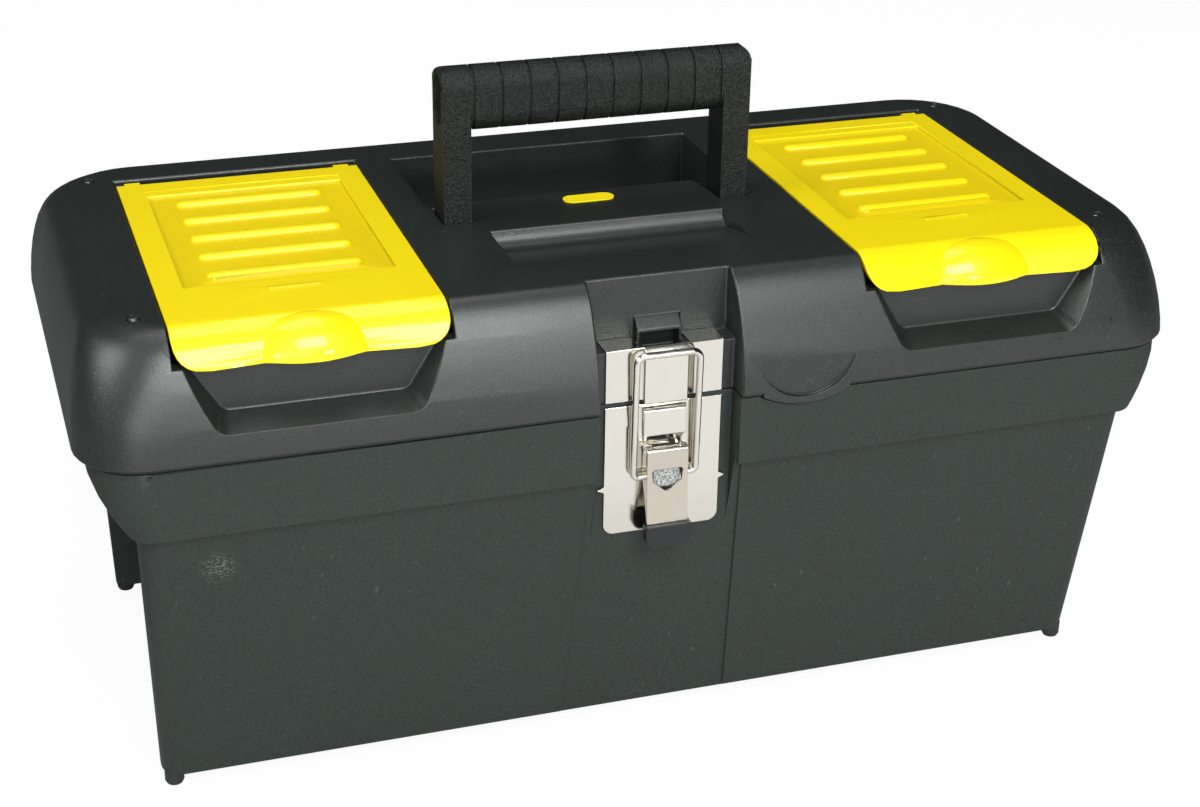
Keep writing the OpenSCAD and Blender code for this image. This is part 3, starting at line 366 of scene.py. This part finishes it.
def specks(amount, scale=60.0):
    """Pale specks and hairs of handling."""
    def lay(tree, place, grain, surface, colour):
        worn = add(tree, "ShaderNodeGroup", {"node_tree": wear_group}, Vector=place, Scale=scale, Amount=amount)
        return mix_colours(tree, worn.outputs["Mask"], surface, shade(colour, 3.2))
    return lay


def flecked(amount):
    """Tiny lights and darks of the grain."""
    def lay(tree, place, grain, surface, colour):
        gain = ramp(tree, grain.outputs["Fleck"], 0.0, 1.0, 1 - amount, 1 + amount)
        scaled = add(tree, "ShaderNodeVectorMath", {"operation": "SCALE"}, Scale=gain)
        tree.links.new(surface, scaled.inputs[0])
        return scaled.outputs[0]
    return lay


def scuff_at(centre, reach=0.008):
    """One rubbed spot of crossed scratches."""
    def lay(tree, place, grain, surface, colour):
        rubbed = add(tree, "ShaderNodeGroup", {"node_tree": scuff_group}, Vector=place, Centre=centre, Reach=reach)
        return mix_colours(tree, rubbed.outputs["Mask"], surface, shade(colour, 5.0))
    return lay


def painted_panel_shade(tree, place, grain, surface, colour):
    """Painted shade: a darker colour on the floor of the sunk panel."""
    shade_mask = add(tree, "ShaderNodeGroup", {"node_tree": panel_shade_group}, Vector=place)
    # painted shade: the panel's floor is coloured darker and more orange
    return mix_colours(tree, shade_mask.outputs["Mask"], surface, (colour[0] * 0.93, colour[1] * 0.89, 0.0, 1.0))


print("layers:", [layer.__name__ for layer in (specks, flecked, scuff_at, painted_panel_shade)])

# %% [markdown]
# ### Moulded plastic
# The maker below builds one material from its colour, roughness, grain and layers. The depth of
# the grain is in metres and goes to a Bump node, because real dents of a tenth of a millimetre
# would need millions of faces.

# %% Moulded plastic
def fresh_material(name):
    """New material with an empty tree and its Object coordinates."""
    material = bpy.data.materials.new(name)
    material.use_nodes = True
    material.node_tree.nodes.clear()
    return material, material.node_tree, material.node_tree.nodes.new("ShaderNodeTexCoord").outputs["Object"]


def moulded(name, colour, rough, grain_scale, grain_depth, layers=(), mottle=0.12, softness=0.5, spec=0.5,
            coat=0.0, coat_rough=0.1):
    """Moulded plastic with grain, uneven colour and layers over it."""
    material, tree, place = fresh_material(name)
    grain = add(tree, "ShaderNodeGroup", {"node_tree": grain_group}, Vector=place, Scale=grain_scale, Softness=softness)
    surface = mix_colours(tree, grain.outputs["Mottle"], shade(colour, 1 - mottle), shade(colour, 1 + mottle))
    for lay in layers:
        surface = lay(tree, place, grain, surface, colour)
    roughness = ramp(tree, grain.outputs["Mottle"], 0.3, 0.7, rough - 0.04, rough + 0.05)
    bump = add(tree, "ShaderNodeBump", Height=grain.outputs["Height"], Strength=1.0, Distance=grain_depth)
    shader = add(tree, "ShaderNodeBsdfPrincipled", Base_Color=surface, Roughness=roughness, Normal=bump.outputs[0])
    shader.inputs["Specular IOR Level"].default_value = spec
    shader.inputs["Coat Weight"].default_value = coat
    shader.inputs["Coat Roughness"].default_value = coat_rough
    tree.links.new(shader.outputs[0], tree.nodes.new("ShaderNodeOutputMaterial").inputs[0])
    print(f"{name}: {len(layers)} layers, {len(tree.nodes)} nodes")
    return material


# %% [markdown]
# ### Plated and turned metal
# Nickel, steel and zinc are the same shader with another colour, roughness and ripple. All of
# them are fully metallic, so their look comes from what they mirror.

# %% Plated and turned metal
def plated(name, colour, rough, ripple, tarnish=0.06):
    """Nearly a mirror, with a faint ripple and haze; the ripple's depth is in metres."""
    material, tree, place = fresh_material(name)
    surface = add(tree, "ShaderNodeGroup", {"node_tree": plate_group}, Vector=place, Scale=55.0)
    tone = mix_colours(tree, surface.outputs["Cloud"], shade(colour, 1 - tarnish), shade(colour, 1 + tarnish))
    roughness = ramp(tree, surface.outputs["Cloud"], 0.3, 0.7, rough * 0.7, rough * 1.5)
    bump = add(tree, "ShaderNodeBump", Height=surface.outputs["Ripple"], Strength=1.0, Distance=ripple)
    shader = add(tree, "ShaderNodeBsdfPrincipled", Base_Color=tone, Roughness=roughness, Normal=bump.outputs[0])
    shader.inputs["Metallic"].default_value = 1.0
    tree.links.new(shader.outputs[0], tree.nodes.new("ShaderNodeOutputMaterial").inputs[0])
    print(f"{name}: roughness {rough}, {len(tree.nodes)} nodes")
    return material


# %% [markdown]
# ### The case's plastics
# The tub is a slightly green black with a satin face. The lid is darker and glossier, the handle
# has the coarsest grain, and the inner parts are plain. The yellow is glossy, with a thin coat
# that gives the sharp spot on each thumb dome.

# %% Plastics
FINISH = {
    "tub": moulded("tub_plastic", (0.0205, 0.0262, 0.0229), 0.50, 2200, 0.00005, mottle=0.08, spec=0.28,
                   layers=[specks(0.55, 240), flecked(0.15), scuff_at((-0.1594, -0.0952, 0.0973))]),
    "lid": moulded("lid_plastic", (0.0140, 0.0172, 0.0158), 0.33, 2600, 0.00006, mottle=0.08, spec=0.60,
                   layers=[specks(0.85, 230), flecked(0.25)]),
    "handle": moulded("handle_plastic", (0.0072, 0.0090, 0.0088), 0.38, 2200, 0.00040, mottle=0.15, softness=0.7,
                      spec=0.36, layers=[specks(0.4, 300), flecked(0.75)]),
    # the yellow carries painted shade on its sunk panel floor
    "yellow": moulded("yellow_gloss", (0.74, 0.570, 0.0), 0.40, 300, 0.000002, mottle=0.02, spec=0.25,
                      coat=0.5, coat_rough=0.10, layers=[painted_panel_shade]),
    "blank_plate": moulded("yellow_plate", (0.90, 0.70, 0.0), 0.35, 400, 0.00001, mottle=0.03),
    "tray": moulded("tray_plastic", (0.030, 0.033, 0.034), 0.52, 1300, 0.00006, layers=[specks(0.3)]),
    "bin": moulded("bin_plastic", (0.026, 0.030, 0.032), 0.5, 1300, 0.00006, layers=[specks(0.2)]),
    "lever_tip": moulded("tip_plastic", (0.008, 0.009, 0.010), 0.35, 900, 0.00005, mottle=0.15),
    "staple": moulded("staple_grain", (0.30, 0.31, 0.30), 0.40, 2600, 0.0003, mottle=0.3, softness=0.8,
                      layers=[flecked(0.6)]),
}
print("plastics:", len(FINISH))

# %% [markdown]
# ### The case's metals
# The latch is nickel plated. Its lever's nickel is set a shade darker and warmer
# than the plates'. The pins are plain steel, the organiser rods are dark, and the screws are zinc.

# %% Metals
FINISH.update({
    "nickel": plated("nickel_plate", (0.77, 0.74, 0.675), 0.13, 0.0002),
    "pin_steel": plated("pin_steel", (0.50, 0.51, 0.53), 0.28, 0.00005),
    "rod": plated("dark_rod", (0.10, 0.105, 0.11), 0.30, 0.00005),
    "screw": plated("zinc_screw", (0.20, 0.205, 0.21), 0.35, 0.0001, tarnish=0.15),
})
LEVER_NICKEL = plated("lever_nickel", (0.63, 0.575, 0.50), 0.15, 0.0002)
print("finishes:", len(FINISH) + 1)

# %% [markdown]
# ## Dressing the solids
# The solids are exact, but their edges are razor sharp and their curves are faceted. They could
# be modelled again from nothing, which would lose the exact fit. Instead a copy of each has its
# doubles merged and its flat facets joined, then its long sharp edges get a small rounded bevel
# and its curves a smooth shade, so that every edge catches a line of light. The copy takes the
# place of the solid to the eye, and the solid stays for the motion.

# %% What rides where, and in which finish
BODY_OF = {node: body for body, nodes in frame["record"]["behaviour"]["bodies"].items() for node in nodes}
SLOT_OF = {entry["node"]: entry["material_slot"] for entry in frame["record"]["subparts"]}


def finish_of(node):
    return LEVER_NICKEL if node == "latch_lever" else FINISH[SLOT_OF[node]]


print("slots used:", sorted(set(SLOT_OF.values())))

# %% [markdown]
# ### Which edges are rounded
# Only edges sharper than 35 degrees are bevelled. An edge beside a narrow face carries a smaller
# bevel, because a wide one would fold over it. On thin pieces only outward edges are rounded.
# The plain ribs and the plain swelling of an organiser lid are left alone, because rounder ones
# are laid over them further down.

# %% Bevel of an edge
THIN_PIECES = ("organizer_lid", "latch_", "blank_plate", "handle")
SHARP = math.radians(35)
LID_CENTRE = {"left": -0.1225, "right": 0.1225}


def bevel_share(edge, bevel, outward):
    """How much of the bevel an edge can carry: none if it is soft, less beside a narrow face."""
    if len(edge.link_faces) != 2 or edge.calc_face_angle(0) < SHARP or (outward and not edge.is_convex):
        return 0.0
    room_beside = min(2 * face.calc_area() / face.calc_perimeter() for face in edge.link_faces)
    return min(1.0, 0.4 * room_beside / bevel)


def on_rib_level(vert):
    return 0.18125 < vert.co.z < 0.18145


def under_rib_or_dome(edge):
    """Edges of an organiser lid that a rib, the short ridge or the dome covers."""
    return all(on_rib_level(vert) or vert.co.z > 0.1817
               or (abs(abs(vert.co.x) - 0.1225) < 0.019 and vert.co.y < -0.074) for vert in edge.verts)


print("edges sharper than", round(math.degrees(SHARP)), "degrees are rounded")

# %% [markdown]
# ### A rounded copy
# Doubles are merged first, because the solid comes as loose triangles. Flat facets are joined, so
# a bevel has one long edge to follow. A hollow-sided face would fold when it is bevelled, so it
# is split into ones that aren't hollow. The bevel is a modifier that reads a weight from each
# edge, and its result is taken as a plain mesh.

# %% Rounded copy
def weighted_mesh(node, bevel):
    """Mesh of a solid with its flat facets joined and a bevel weight on each edge."""
    bm = bmesh.new()
    bm.from_mesh(frame["nodes"][node].data)
    bmesh.ops.remove_doubles(bm, verts=bm.verts, dist=2e-6)
    bmesh.ops.dissolve_limit(bm, angle_limit=math.radians(0.2), verts=bm.verts, edges=bm.edges)
    bmesh.ops.connect_verts_concave(bm, faces=bm.faces)
    weight = bm.edges.layers.float.new("bevel_weight_edge")
    lid = node.startswith("organizer_lid")
    for edge in bm.edges:
        if not (lid and under_rib_or_dome(edge)):
            edge[weight] = bevel_share(edge, bevel, node.startswith(THIN_PIECES))
    mesh = bpy.data.meshes.new(node + "_rounded")
    bm.to_mesh(mesh)
    bm.free()
    return mesh


def rounded_copy(node, bevel):
    """Plain mesh of a solid with its long edges rounded."""
    holder = bpy.data.objects.new(node + "_rounded", weighted_mesh(node, bevel))
    bpy.context.scene.collection.objects.link(holder)
    rounding = holder.modifiers.new("rounding", "BEVEL")
    rounding.width, rounding.segments, rounding.limit_method = bevel, 3, "WEIGHT"
    rounding.use_clamp_overlap = False
    graph = bpy.context.evaluated_depsgraph_get()
    result = bpy.data.meshes.new_from_object(holder.evaluated_get(graph), depsgraph=graph)
    holder.modifiers.clear()
    bpy.data.objects.remove(holder)
    return result


def skin_area(mesh):
    mesh.calc_loop_triangles()
    return sum(triangle.area for triangle in mesh.loop_triangles)


print("tub's area as a solid:", round(skin_area(frame["nodes"]["base_tub"].data), 4), "m2")

# %% [markdown]
# ### A fold is found by its area
# A bevel that is too wide folds, and a fold is extra skin. So the area of the rounded copy is set
# against the solid's, and the bevel is made smaller until nothing is added.

# %% Rounded without folds
def rounded_without_folds(node, bevel):
    """Rounded copy of a node and the bevel that it could carry."""
    allowed = skin_area(frame["nodes"][node].data) * 1.0005
    mesh = rounded_copy(node, bevel)
    while skin_area(mesh) > allowed and bevel > 0.00004:
        bevel *= 0.6
        mesh = rounded_copy(node, bevel)
    return mesh, bevel


print("a fold is more than 0.05 percent of extra area")

# %% [markdown]
# ### Organiser lids: room for the round ribs and domes
# The solid has its ribs with flat tops and its thumb swelling with a faceted one. In the copy the
# ribs' tops sink below the round ribs, and the swelling is laid back onto the lip's bend.

# %% Sink the plain ribs and the plain swelling
LID_TOP, LIP_Y, LIP_BEND, LIP_EDGE = 0.1815, -0.0926, 0.015, 0.1695


def flatten_dome(bm, centre_x):
    """Lays the plain swelling back onto the lip's bend."""
    for vert in bm.verts:
        y, z = vert.co.y - (LIP_Y + LIP_BEND), vert.co.z - (LID_TOP - LIP_BEND)
        out = math.hypot(y, z)
        on_swelling = abs(vert.co.x - centre_x) < 0.0195 and y < 0.002 and z > 0.0015
        if on_swelling and out > LIP_BEND + 0.00002 and vert.co.z < LID_TOP + 0.0002:
            vert.co.y = LIP_Y + LIP_BEND + y * LIP_BEND / out
            vert.co.z = LID_TOP - LIP_BEND + z * LIP_BEND / out


def sink_ribs(bm, centre_x):
    """Lowers the plain ribs' tops to the panel's floor."""
    for vert in bm.verts:
        on_panel = abs(vert.co.x - centre_x) < 0.030 and -0.0440 < vert.co.y < 0.0372
        if on_panel and on_rib_level(vert):
            vert.co.z = 0.18025


print("lip bends with a radius of", LIP_BEND * 1000, "mm")

# %% [markdown]
# ### The finished copy
# The last steps are the same for every node: faces with many corners are split, the shade is made
# smooth up to 46 degrees, and normals are weighted by area so that flat faces look flat. Then the
# copy gets its finish, rides on the node's body and stands for the node.

# %% Dress a node
def smooth_mesh(node, mesh):
    """Mesh with its shading smooth across bevels and sharp at real corners."""
    bm = bmesh.new()
    bm.from_mesh(mesh)
    if node.startswith("organizer_lid"):
        centre_x = LID_CENTRE[node.rsplit("_", 1)[1]]
        bmesh.ops.triangulate(bm, faces=bm.faces)
        flatten_dome(bm, centre_x)
        sink_ribs(bm, centre_x)
    bmesh.ops.triangulate(bm, faces=[face for face in bm.faces if len(face.verts) > 4])
    smooth = bpy.data.meshes.new(node + "_dressed")
    bm.to_mesh(smooth)
    bm.free()
    smooth.shade_smooth()
    smooth.set_sharp_from_angle(angle=math.radians(46))
    return smooth


def weigh_normals(piece):
    """Weights a piece's normals by area, with the modifier used once and left behind."""
    weighted = piece.modifiers.new("weighted", "WEIGHTED_NORMAL")
    weighted.keep_sharp = True
    graph = bpy.context.evaluated_depsgraph_get()
    ready = bpy.data.meshes.new_from_object(piece.evaluated_get(graph), preserve_all_data_layers=True, depsgraph=graph)
    piece.modifiers.clear()
    piece.data = ready


def dress(node, bevel):
    """Smooth, bevelled copy of a node that stands for it."""
    rounded, carried = rounded_without_folds(node, bevel)
    mesh = smooth_mesh(node, rounded)
    mesh.materials.clear()
    mesh.materials.append(finish_of(node))
    piece = bpy.data.objects.new(node + "_dressed", mesh)
    bpy.context.scene.collection.objects.link(piece)
    weigh_normals(piece)
    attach(piece, BODY_OF[node])
    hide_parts(node)
    print(f"{node}: bevel {carried * 1000:.2f} mm, faces {len(piece.data.polygons)}")


# %% [markdown]
# ### Every solid but the screws
# The big mouldings have soft edges of nearly a millimetre, sheet metal has a tenth or two, and
# pins and rods only lose their burr. The screws are made again below, with a drive in the head.

# %% Dress every solid
BEVEL = {
    "base_tub": 0.0005, "lid_shell": 0.0009, "handle": 0.0004, "tote_tray": 0.0005,
    "organizer_lid_left": 0.0005, "organizer_lid_right": 0.0005,
    "organizer_bin_left": 0.0004, "organizer_bin_right": 0.0004,
    "latch_base_plate": 0.0003, "latch_keeper_plate": 0.0003, "latch_lever": 0.00025,
    "latch_lever_tip": 0.0006, "latch_staple": 0.0002, "blank_plate": 0.0003,
}
for node in sorted(set(frame["nodes"]) - {"organizer_screws"}):
    dress(node, BEVEL.get(node, 0.0001))

# %% [markdown]
# ## The thumb domes
# Each organiser lid has a shallow round swelling on its lip, where a thumb lifts it. Its outline
# is half a circle standing on the lip's edge, and its surface is part of a ball laid over the
# lip's bend. Sculpting it would be guesswork, but a ball's cap can be worked out point by point:
# how far a point lies from the middle of the edge gives how high it stands off the lip.

# %% Points of a dome
DOME_REACH, DOME_HEIGHT, DOME_WALL = 0.0178, 0.0037, 0.0012
BALL = (DOME_REACH ** 2 + DOME_HEIGHT ** 2) / (2 * DOME_HEIGHT)
EDGE_TURN = math.radians(180) - math.asin((LIP_EDGE - (LID_TOP - LIP_BEND)) / LIP_BEND)


def on_lip(x, along, lift):
    """Point on the lip's bend: along is measured up from its edge, lift stands off its surface."""
    turn = EDGE_TURN - max(along, 0.0) / LIP_BEND
    out = LIP_BEND + lift
    point = Vector((x, LIP_Y + LIP_BEND + out * math.cos(turn), LID_TOP - LIP_BEND + out * math.sin(turn)))
    return point + Vector((0, 0, min(along, 0.0)))


def dome_skin(bm, centre_x, depth, across=36, up=18):
    """Grid of the dome's skin, depth below its outer face."""
    rows = []
    for j in range(-2, up + 1):
        row = []
        for i in range(across + 1):
            side = -math.cos(math.pi * i / across)
            reach = math.sqrt(max(0.0, 1 - side * side))
            along = DOME_REACH * reach * j / up if j > 0 else 0.0
            x = DOME_REACH * side
            lift = math.sqrt(BALL ** 2 - x * x - along * along) - (BALL - DOME_HEIGHT)
            if j < 0:  # the lower rows hang below the lip's edge
                along = -0.00145 * max(0.0, 1 - (x / 0.017) ** 2) * -j / 2
            row.append(bm.verts.new(on_lip(centre_x + x, along, lift - depth)))
        rows.append(row)
    return rows


print("dome's ball radius:", round(BALL * 1000, 1), "mm")

# %% [markdown]
# ### A dome with a wall
# An open skin would show its back when the lid is up. So an inner skin is made the same way, a
# wall's thickness deeper, and a band of faces closes the rim between them.

# %% Thumb domes
def quads_between(bm, rows, turned):
    for low, high in zip(rows, rows[1:]):
        for i in range(len(low) - 1):
            ring = [low[i], low[i + 1], high[i + 1], high[i]]
            bm.faces.new(ring[::-1] if turned else ring)


def thumb_dome(name, centre_x):
    """Closed shell of one dome."""
    bm = bmesh.new()
    outer, inner = dome_skin(bm, centre_x, 0.0), dome_skin(bm, centre_x, DOME_WALL)
    quads_between(bm, outer, False)
    quads_between(bm, inner, True)
    rim_out, rim_in = outer[0] + outer[-1][::-1], inner[0] + inner[-1][::-1]
    for i in range(len(rim_out)):
        k = (i + 1) % len(rim_out)
        bm.faces.new([rim_out[k], rim_out[i], rim_in[i], rim_in[k]])
    bmesh.ops.remove_doubles(bm, verts=bm.verts, dist=1e-6)
    bmesh.ops.recalc_face_normals(bm, faces=bm.faces)
    mesh = bpy.data.meshes.new(name)
    bm.to_mesh(mesh)
    bm.free()
    mesh.shade_smooth()
    mesh.set_sharp_from_angle(angle=math.radians(60))
    mesh.materials.append(FINISH["yellow"])
    piece = bpy.data.objects.new(name, mesh)
    bpy.context.scene.collection.objects.link(piece)
    return piece


for side, centre_x in LID_CENTRE.items():
    dome = thumb_dome("thumb_dome_" + side, centre_x)
    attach(dome, "organizer_lid_" + side)
    print(dome.name, "faces", len(dome.data.polygons))

# %% [markdown]
# ## Parts that repeat
# Screws and ribs are equal parts at regular places, which is work for Geometry Nodes: one is made
# and a set of points carries the copies, so a size is changed in one place. The helpers build the
# tree's named inputs, and run a tree once to take its result as a plain mesh, because copies by
# reference and live trees would be lost on export.

# %% Tree helpers
def new_tree(name, inputs):
    """Geometry tree with named inputs (name, type, default); gives its tree, inputs and result."""
    tree = bpy.data.node_groups.new(name, "GeometryNodeTree")
    for label, kind, default in inputs:
        socket = tree.interface.new_socket(label, in_out="INPUT", socket_type=kind)
        if default is not None:
            socket.default_value = default
    tree.interface.new_socket("Geometry", in_out="OUTPUT", socket_type="NodeSocketGeometry")
    return tree, tree.nodes.new("NodeGroupInput").outputs, tree.nodes.new("NodeGroupOutput").inputs[0]


def real_copies(tree, points, shape, material, result):
    """Ends a tree: copies on points, made real and given their material."""
    stand = add(tree, "GeometryNodeMeshToPoints", Mesh=points)
    copies = add(tree, "GeometryNodeInstanceOnPoints", Points=stand.outputs[0], Instance=shape)
    real = add(tree, "GeometryNodeRealizeInstances", Geometry=copies.outputs[0])
    coated = add(tree, "GeometryNodeSetMaterial", Geometry=real.outputs[0], Material=material)
    tree.links.new(coated.outputs[0], result)
    print(tree.name, "tree:", len(tree.nodes), "nodes")


def grown(name, tree, values):
    """Plain mesh piece grown by a tree; values are set by the sockets' identifiers."""
    seed = bpy.data.objects.new(name + "_seed", bpy.data.meshes.new(name + "_seed"))
    bpy.context.scene.collection.objects.link(seed)
    modifier = seed.modifiers.new("grow", "NODES")
    modifier.node_group = tree
    for item in tree.interface.items_tree:
        if item.in_out == "INPUT" and item.name in values:
            modifier[item.identifier] = values[item.name]
    graph = bpy.context.evaluated_depsgraph_get()
    mesh = bpy.data.meshes.new_from_object(seed.evaluated_get(graph), depsgraph=graph)
    mesh.name = name
    seed.modifiers.clear()
    bpy.data.objects.remove(seed)
    finish = next(material for material in mesh.materials if material)
    mesh.materials.clear()
    mesh.materials.append(finish)
    mesh.polygons.foreach_set("material_index", [0] * len(mesh.polygons))
    piece = bpy.data.objects.new(name, mesh)
    bpy.context.scene.collection.objects.link(piece)
    print(name, "has", len(mesh.polygons), "faces of", finish.name)
    return piece


# %% [markdown]
# ## The four screws
# The bins are held by four equal screws in round sockets at the corners of the lid. One head is a
# short cone with a cross-shaped drive cut out, and a shank goes down to the bin's flange. A grid
# of two by two points carries the four copies.

# %% Screw tree and its head
HEAD_DEPTH, DRIVE_DEPTH = 0.0012, 0.0007
screw_tree, size, screw_result = new_tree("corner_screws", (
    ("Spacing X", FLOAT, 0.3572), ("Spacing Y", FLOAT, 0.1383), ("Middle", VECTOR, (0.0, -0.00065, 0.0)),
    ("Head radius", FLOAT, 0.0023), ("Head top", FLOAT, 0.1809), ("Shank radius", FLOAT, 0.0013),
    ("Shank low", FLOAT, 0.17047), ("Metal", "NodeSocketMaterial", None)))


def raised(shape, height):
    """Moves a shape up by a number or an output."""
    place = add(screw_tree, "ShaderNodeCombineXYZ", Z=height)
    return add(screw_tree, "GeometryNodeTransform", Geometry=shape, Translation=place.outputs[0]).outputs[0]


head = add(screw_tree, "GeometryNodeMeshCone", Vertices=40, Radius_Bottom=size["Head radius"], Depth=HEAD_DEPTH,
           Radius_Top=math_node(screw_tree, "MULTIPLY", size["Head radius"], 0.84))
head_top = raised(head.outputs["Mesh"], -HEAD_DEPTH)
print("screw head:", HEAD_DEPTH * 1000, "mm deep, its top at zero")

# %% [markdown]
# ### Shank and drive
# The head and the shank are joined into one body first, and the drive is cut from it after that,
# so the cut leaves clean edges. The two arms of the drive are joined before the cut.

# %% Shank and drive
length = math_node(screw_tree, "SUBTRACT", size["Head top"], size["Shank low"])
shank_length = math_node(screw_tree, "SUBTRACT", length, HEAD_DEPTH * 0.8)
shank_middle = math_node(screw_tree, "MULTIPLY", math_node(screw_tree, "ADD", length, HEAD_DEPTH * 0.8), -0.5)
shank = add(screw_tree, "GeometryNodeMeshCylinder", Vertices=24, Radius=size["Shank radius"], Depth=shank_length)
blank = add(screw_tree, "GeometryNodeMeshBoolean", {"operation": "UNION", "solver": "EXACT"})
screw_tree.links.new(head_top, blank.inputs["Mesh 2"])
screw_tree.links.new(raised(shank.outputs["Mesh"], shank_middle), blank.inputs["Mesh 2"])
arms = add(screw_tree, "GeometryNodeMeshBoolean", {"operation": "UNION", "solver": "EXACT"})
for arm in ((0.0029, 0.00055, 2 * DRIVE_DEPTH), (0.00055, 0.0029, 2 * DRIVE_DEPTH)):
    screw_tree.links.new(add(screw_tree, "GeometryNodeMeshCube", Size=arm).outputs["Mesh"], arms.inputs["Mesh 2"])
driven = add(screw_tree, "GeometryNodeMeshBoolean", {"operation": "DIFFERENCE", "solver": "EXACT"})
screw_tree.links.new(blank.outputs["Mesh"], driven.inputs["Mesh 1"])
screw_tree.links.new(arms.outputs["Mesh"], driven.inputs["Mesh 2"])
print("drive:", DRIVE_DEPTH * 1000, "mm deep")

# %% [markdown]
# ### Four places
# A grid with two points each way is all that four corners need.

# %% Screws made and fitted
grid = add(screw_tree, "GeometryNodeMeshGrid", Size_X=size["Spacing X"], Size_Y=size["Spacing Y"],
           Vertices_X=2, Vertices_Y=2)
moved = add(screw_tree, "GeometryNodeTransform", Geometry=grid.outputs["Mesh"], Translation=size["Middle"])
real_copies(screw_tree, raised(moved.outputs[0], size["Head top"]), driven.outputs["Mesh"], size["Metal"], screw_result)

screws = grown("corner_screws", screw_tree, {"Metal": FINISH["screw"]})
screws.data.shade_smooth()
screws.data.set_sharp_from_angle(angle=math.radians(30))
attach(screws, "lid")
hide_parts("organizer_screws")

# %% [markdown]
# ## The ribs on the organiser lids
# Each lid's sunk panel carries five soft ribs that a thumb can feel. Moulded ribs have no flat
# top: they are like half a rod with rounded ends, lying on the panel. A rib could be swept along
# a line, but a ball pulled apart along its length and pressed flat below the panel's floor has
# its round ends at once.

# %% One rib
rib_tree, rib, rib_result = new_tree("panel_ribs", (
    ("Rib length", FLOAT, 0.054), ("Rib width", FLOAT, 0.0058), ("Rib height", FLOAT, 0.00155),
    ("Ribs", "NodeSocketInt", 5), ("First", VECTOR, (0.0, 0.0333, 0.1802)), ("Pitch", FLOAT, -0.018325),
    ("Plastic", "NodeSocketMaterial", None)))
ball = add(rib_tree, "GeometryNodeMeshUVSphere", Segments=32, Rings=16, Radius=1.0)
here = add(rib_tree, "ShaderNodeSeparateXYZ", Vector=rib_tree.nodes.new("GeometryNodeInputPosition").outputs[0]).outputs
half_width = math_node(rib_tree, "MULTIPLY", rib["Rib width"], 0.5)
half_length = math_node(rib_tree, "MULTIPLY", rib["Rib length"], 0.5)
straight = math_node(rib_tree, "SUBTRACT", half_length, math_node(rib_tree, "MULTIPLY", half_width, 0.8))
apart = math_node(rib_tree, "MULTIPLY", math_node(rib_tree, "SIGN", here["X"]), straight)
pulled = math_node(rib_tree, "ADD", math_node(rib_tree, "MULTIPLY", here["X"], half_width), apart)
pressed = math_node(rib_tree, "MAXIMUM", math_node(rib_tree, "MULTIPLY", here["Z"], rib["Rib height"]), -0.0007)
spot = add(rib_tree, "ShaderNodeCombineXYZ", X=pulled, Y=math_node(rib_tree, "MULTIPLY", here["Y"], half_width), Z=pressed)
one_rib = add(rib_tree, "GeometryNodeSetPosition", Geometry=ball.outputs["Mesh"], Position=spot.outputs[0])
print("one rib:", len(rib_tree.nodes), "nodes")

# %% [markdown]
# ### Five ribs on each lid
# A straight line of points with a fixed step carries the ribs. The two lids differ only in where
# the first rib lies, so one tree serves both.

# %% Ribs laid on both lids
stride = add(rib_tree, "ShaderNodeCombineXYZ", Y=rib["Pitch"])
row = add(rib_tree, "GeometryNodeMeshLine", Count=rib["Ribs"])
rib_tree.links.new(rib["First"], row.inputs["Start Location"])
rib_tree.links.new(stride.outputs[0], row.inputs["Offset"])
real_copies(rib_tree, row.outputs[0], one_rib.outputs[0], rib["Plastic"], rib_result)

for side, centre_x in LID_CENTRE.items():
    ribs = grown("panel_ribs_" + side, rib_tree, {"Plastic": FINISH["yellow"], "First": (centre_x, 0.0333, 0.1802)})
    ribs.data.shade_smooth()
    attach(ribs, "organizer_lid_" + side)
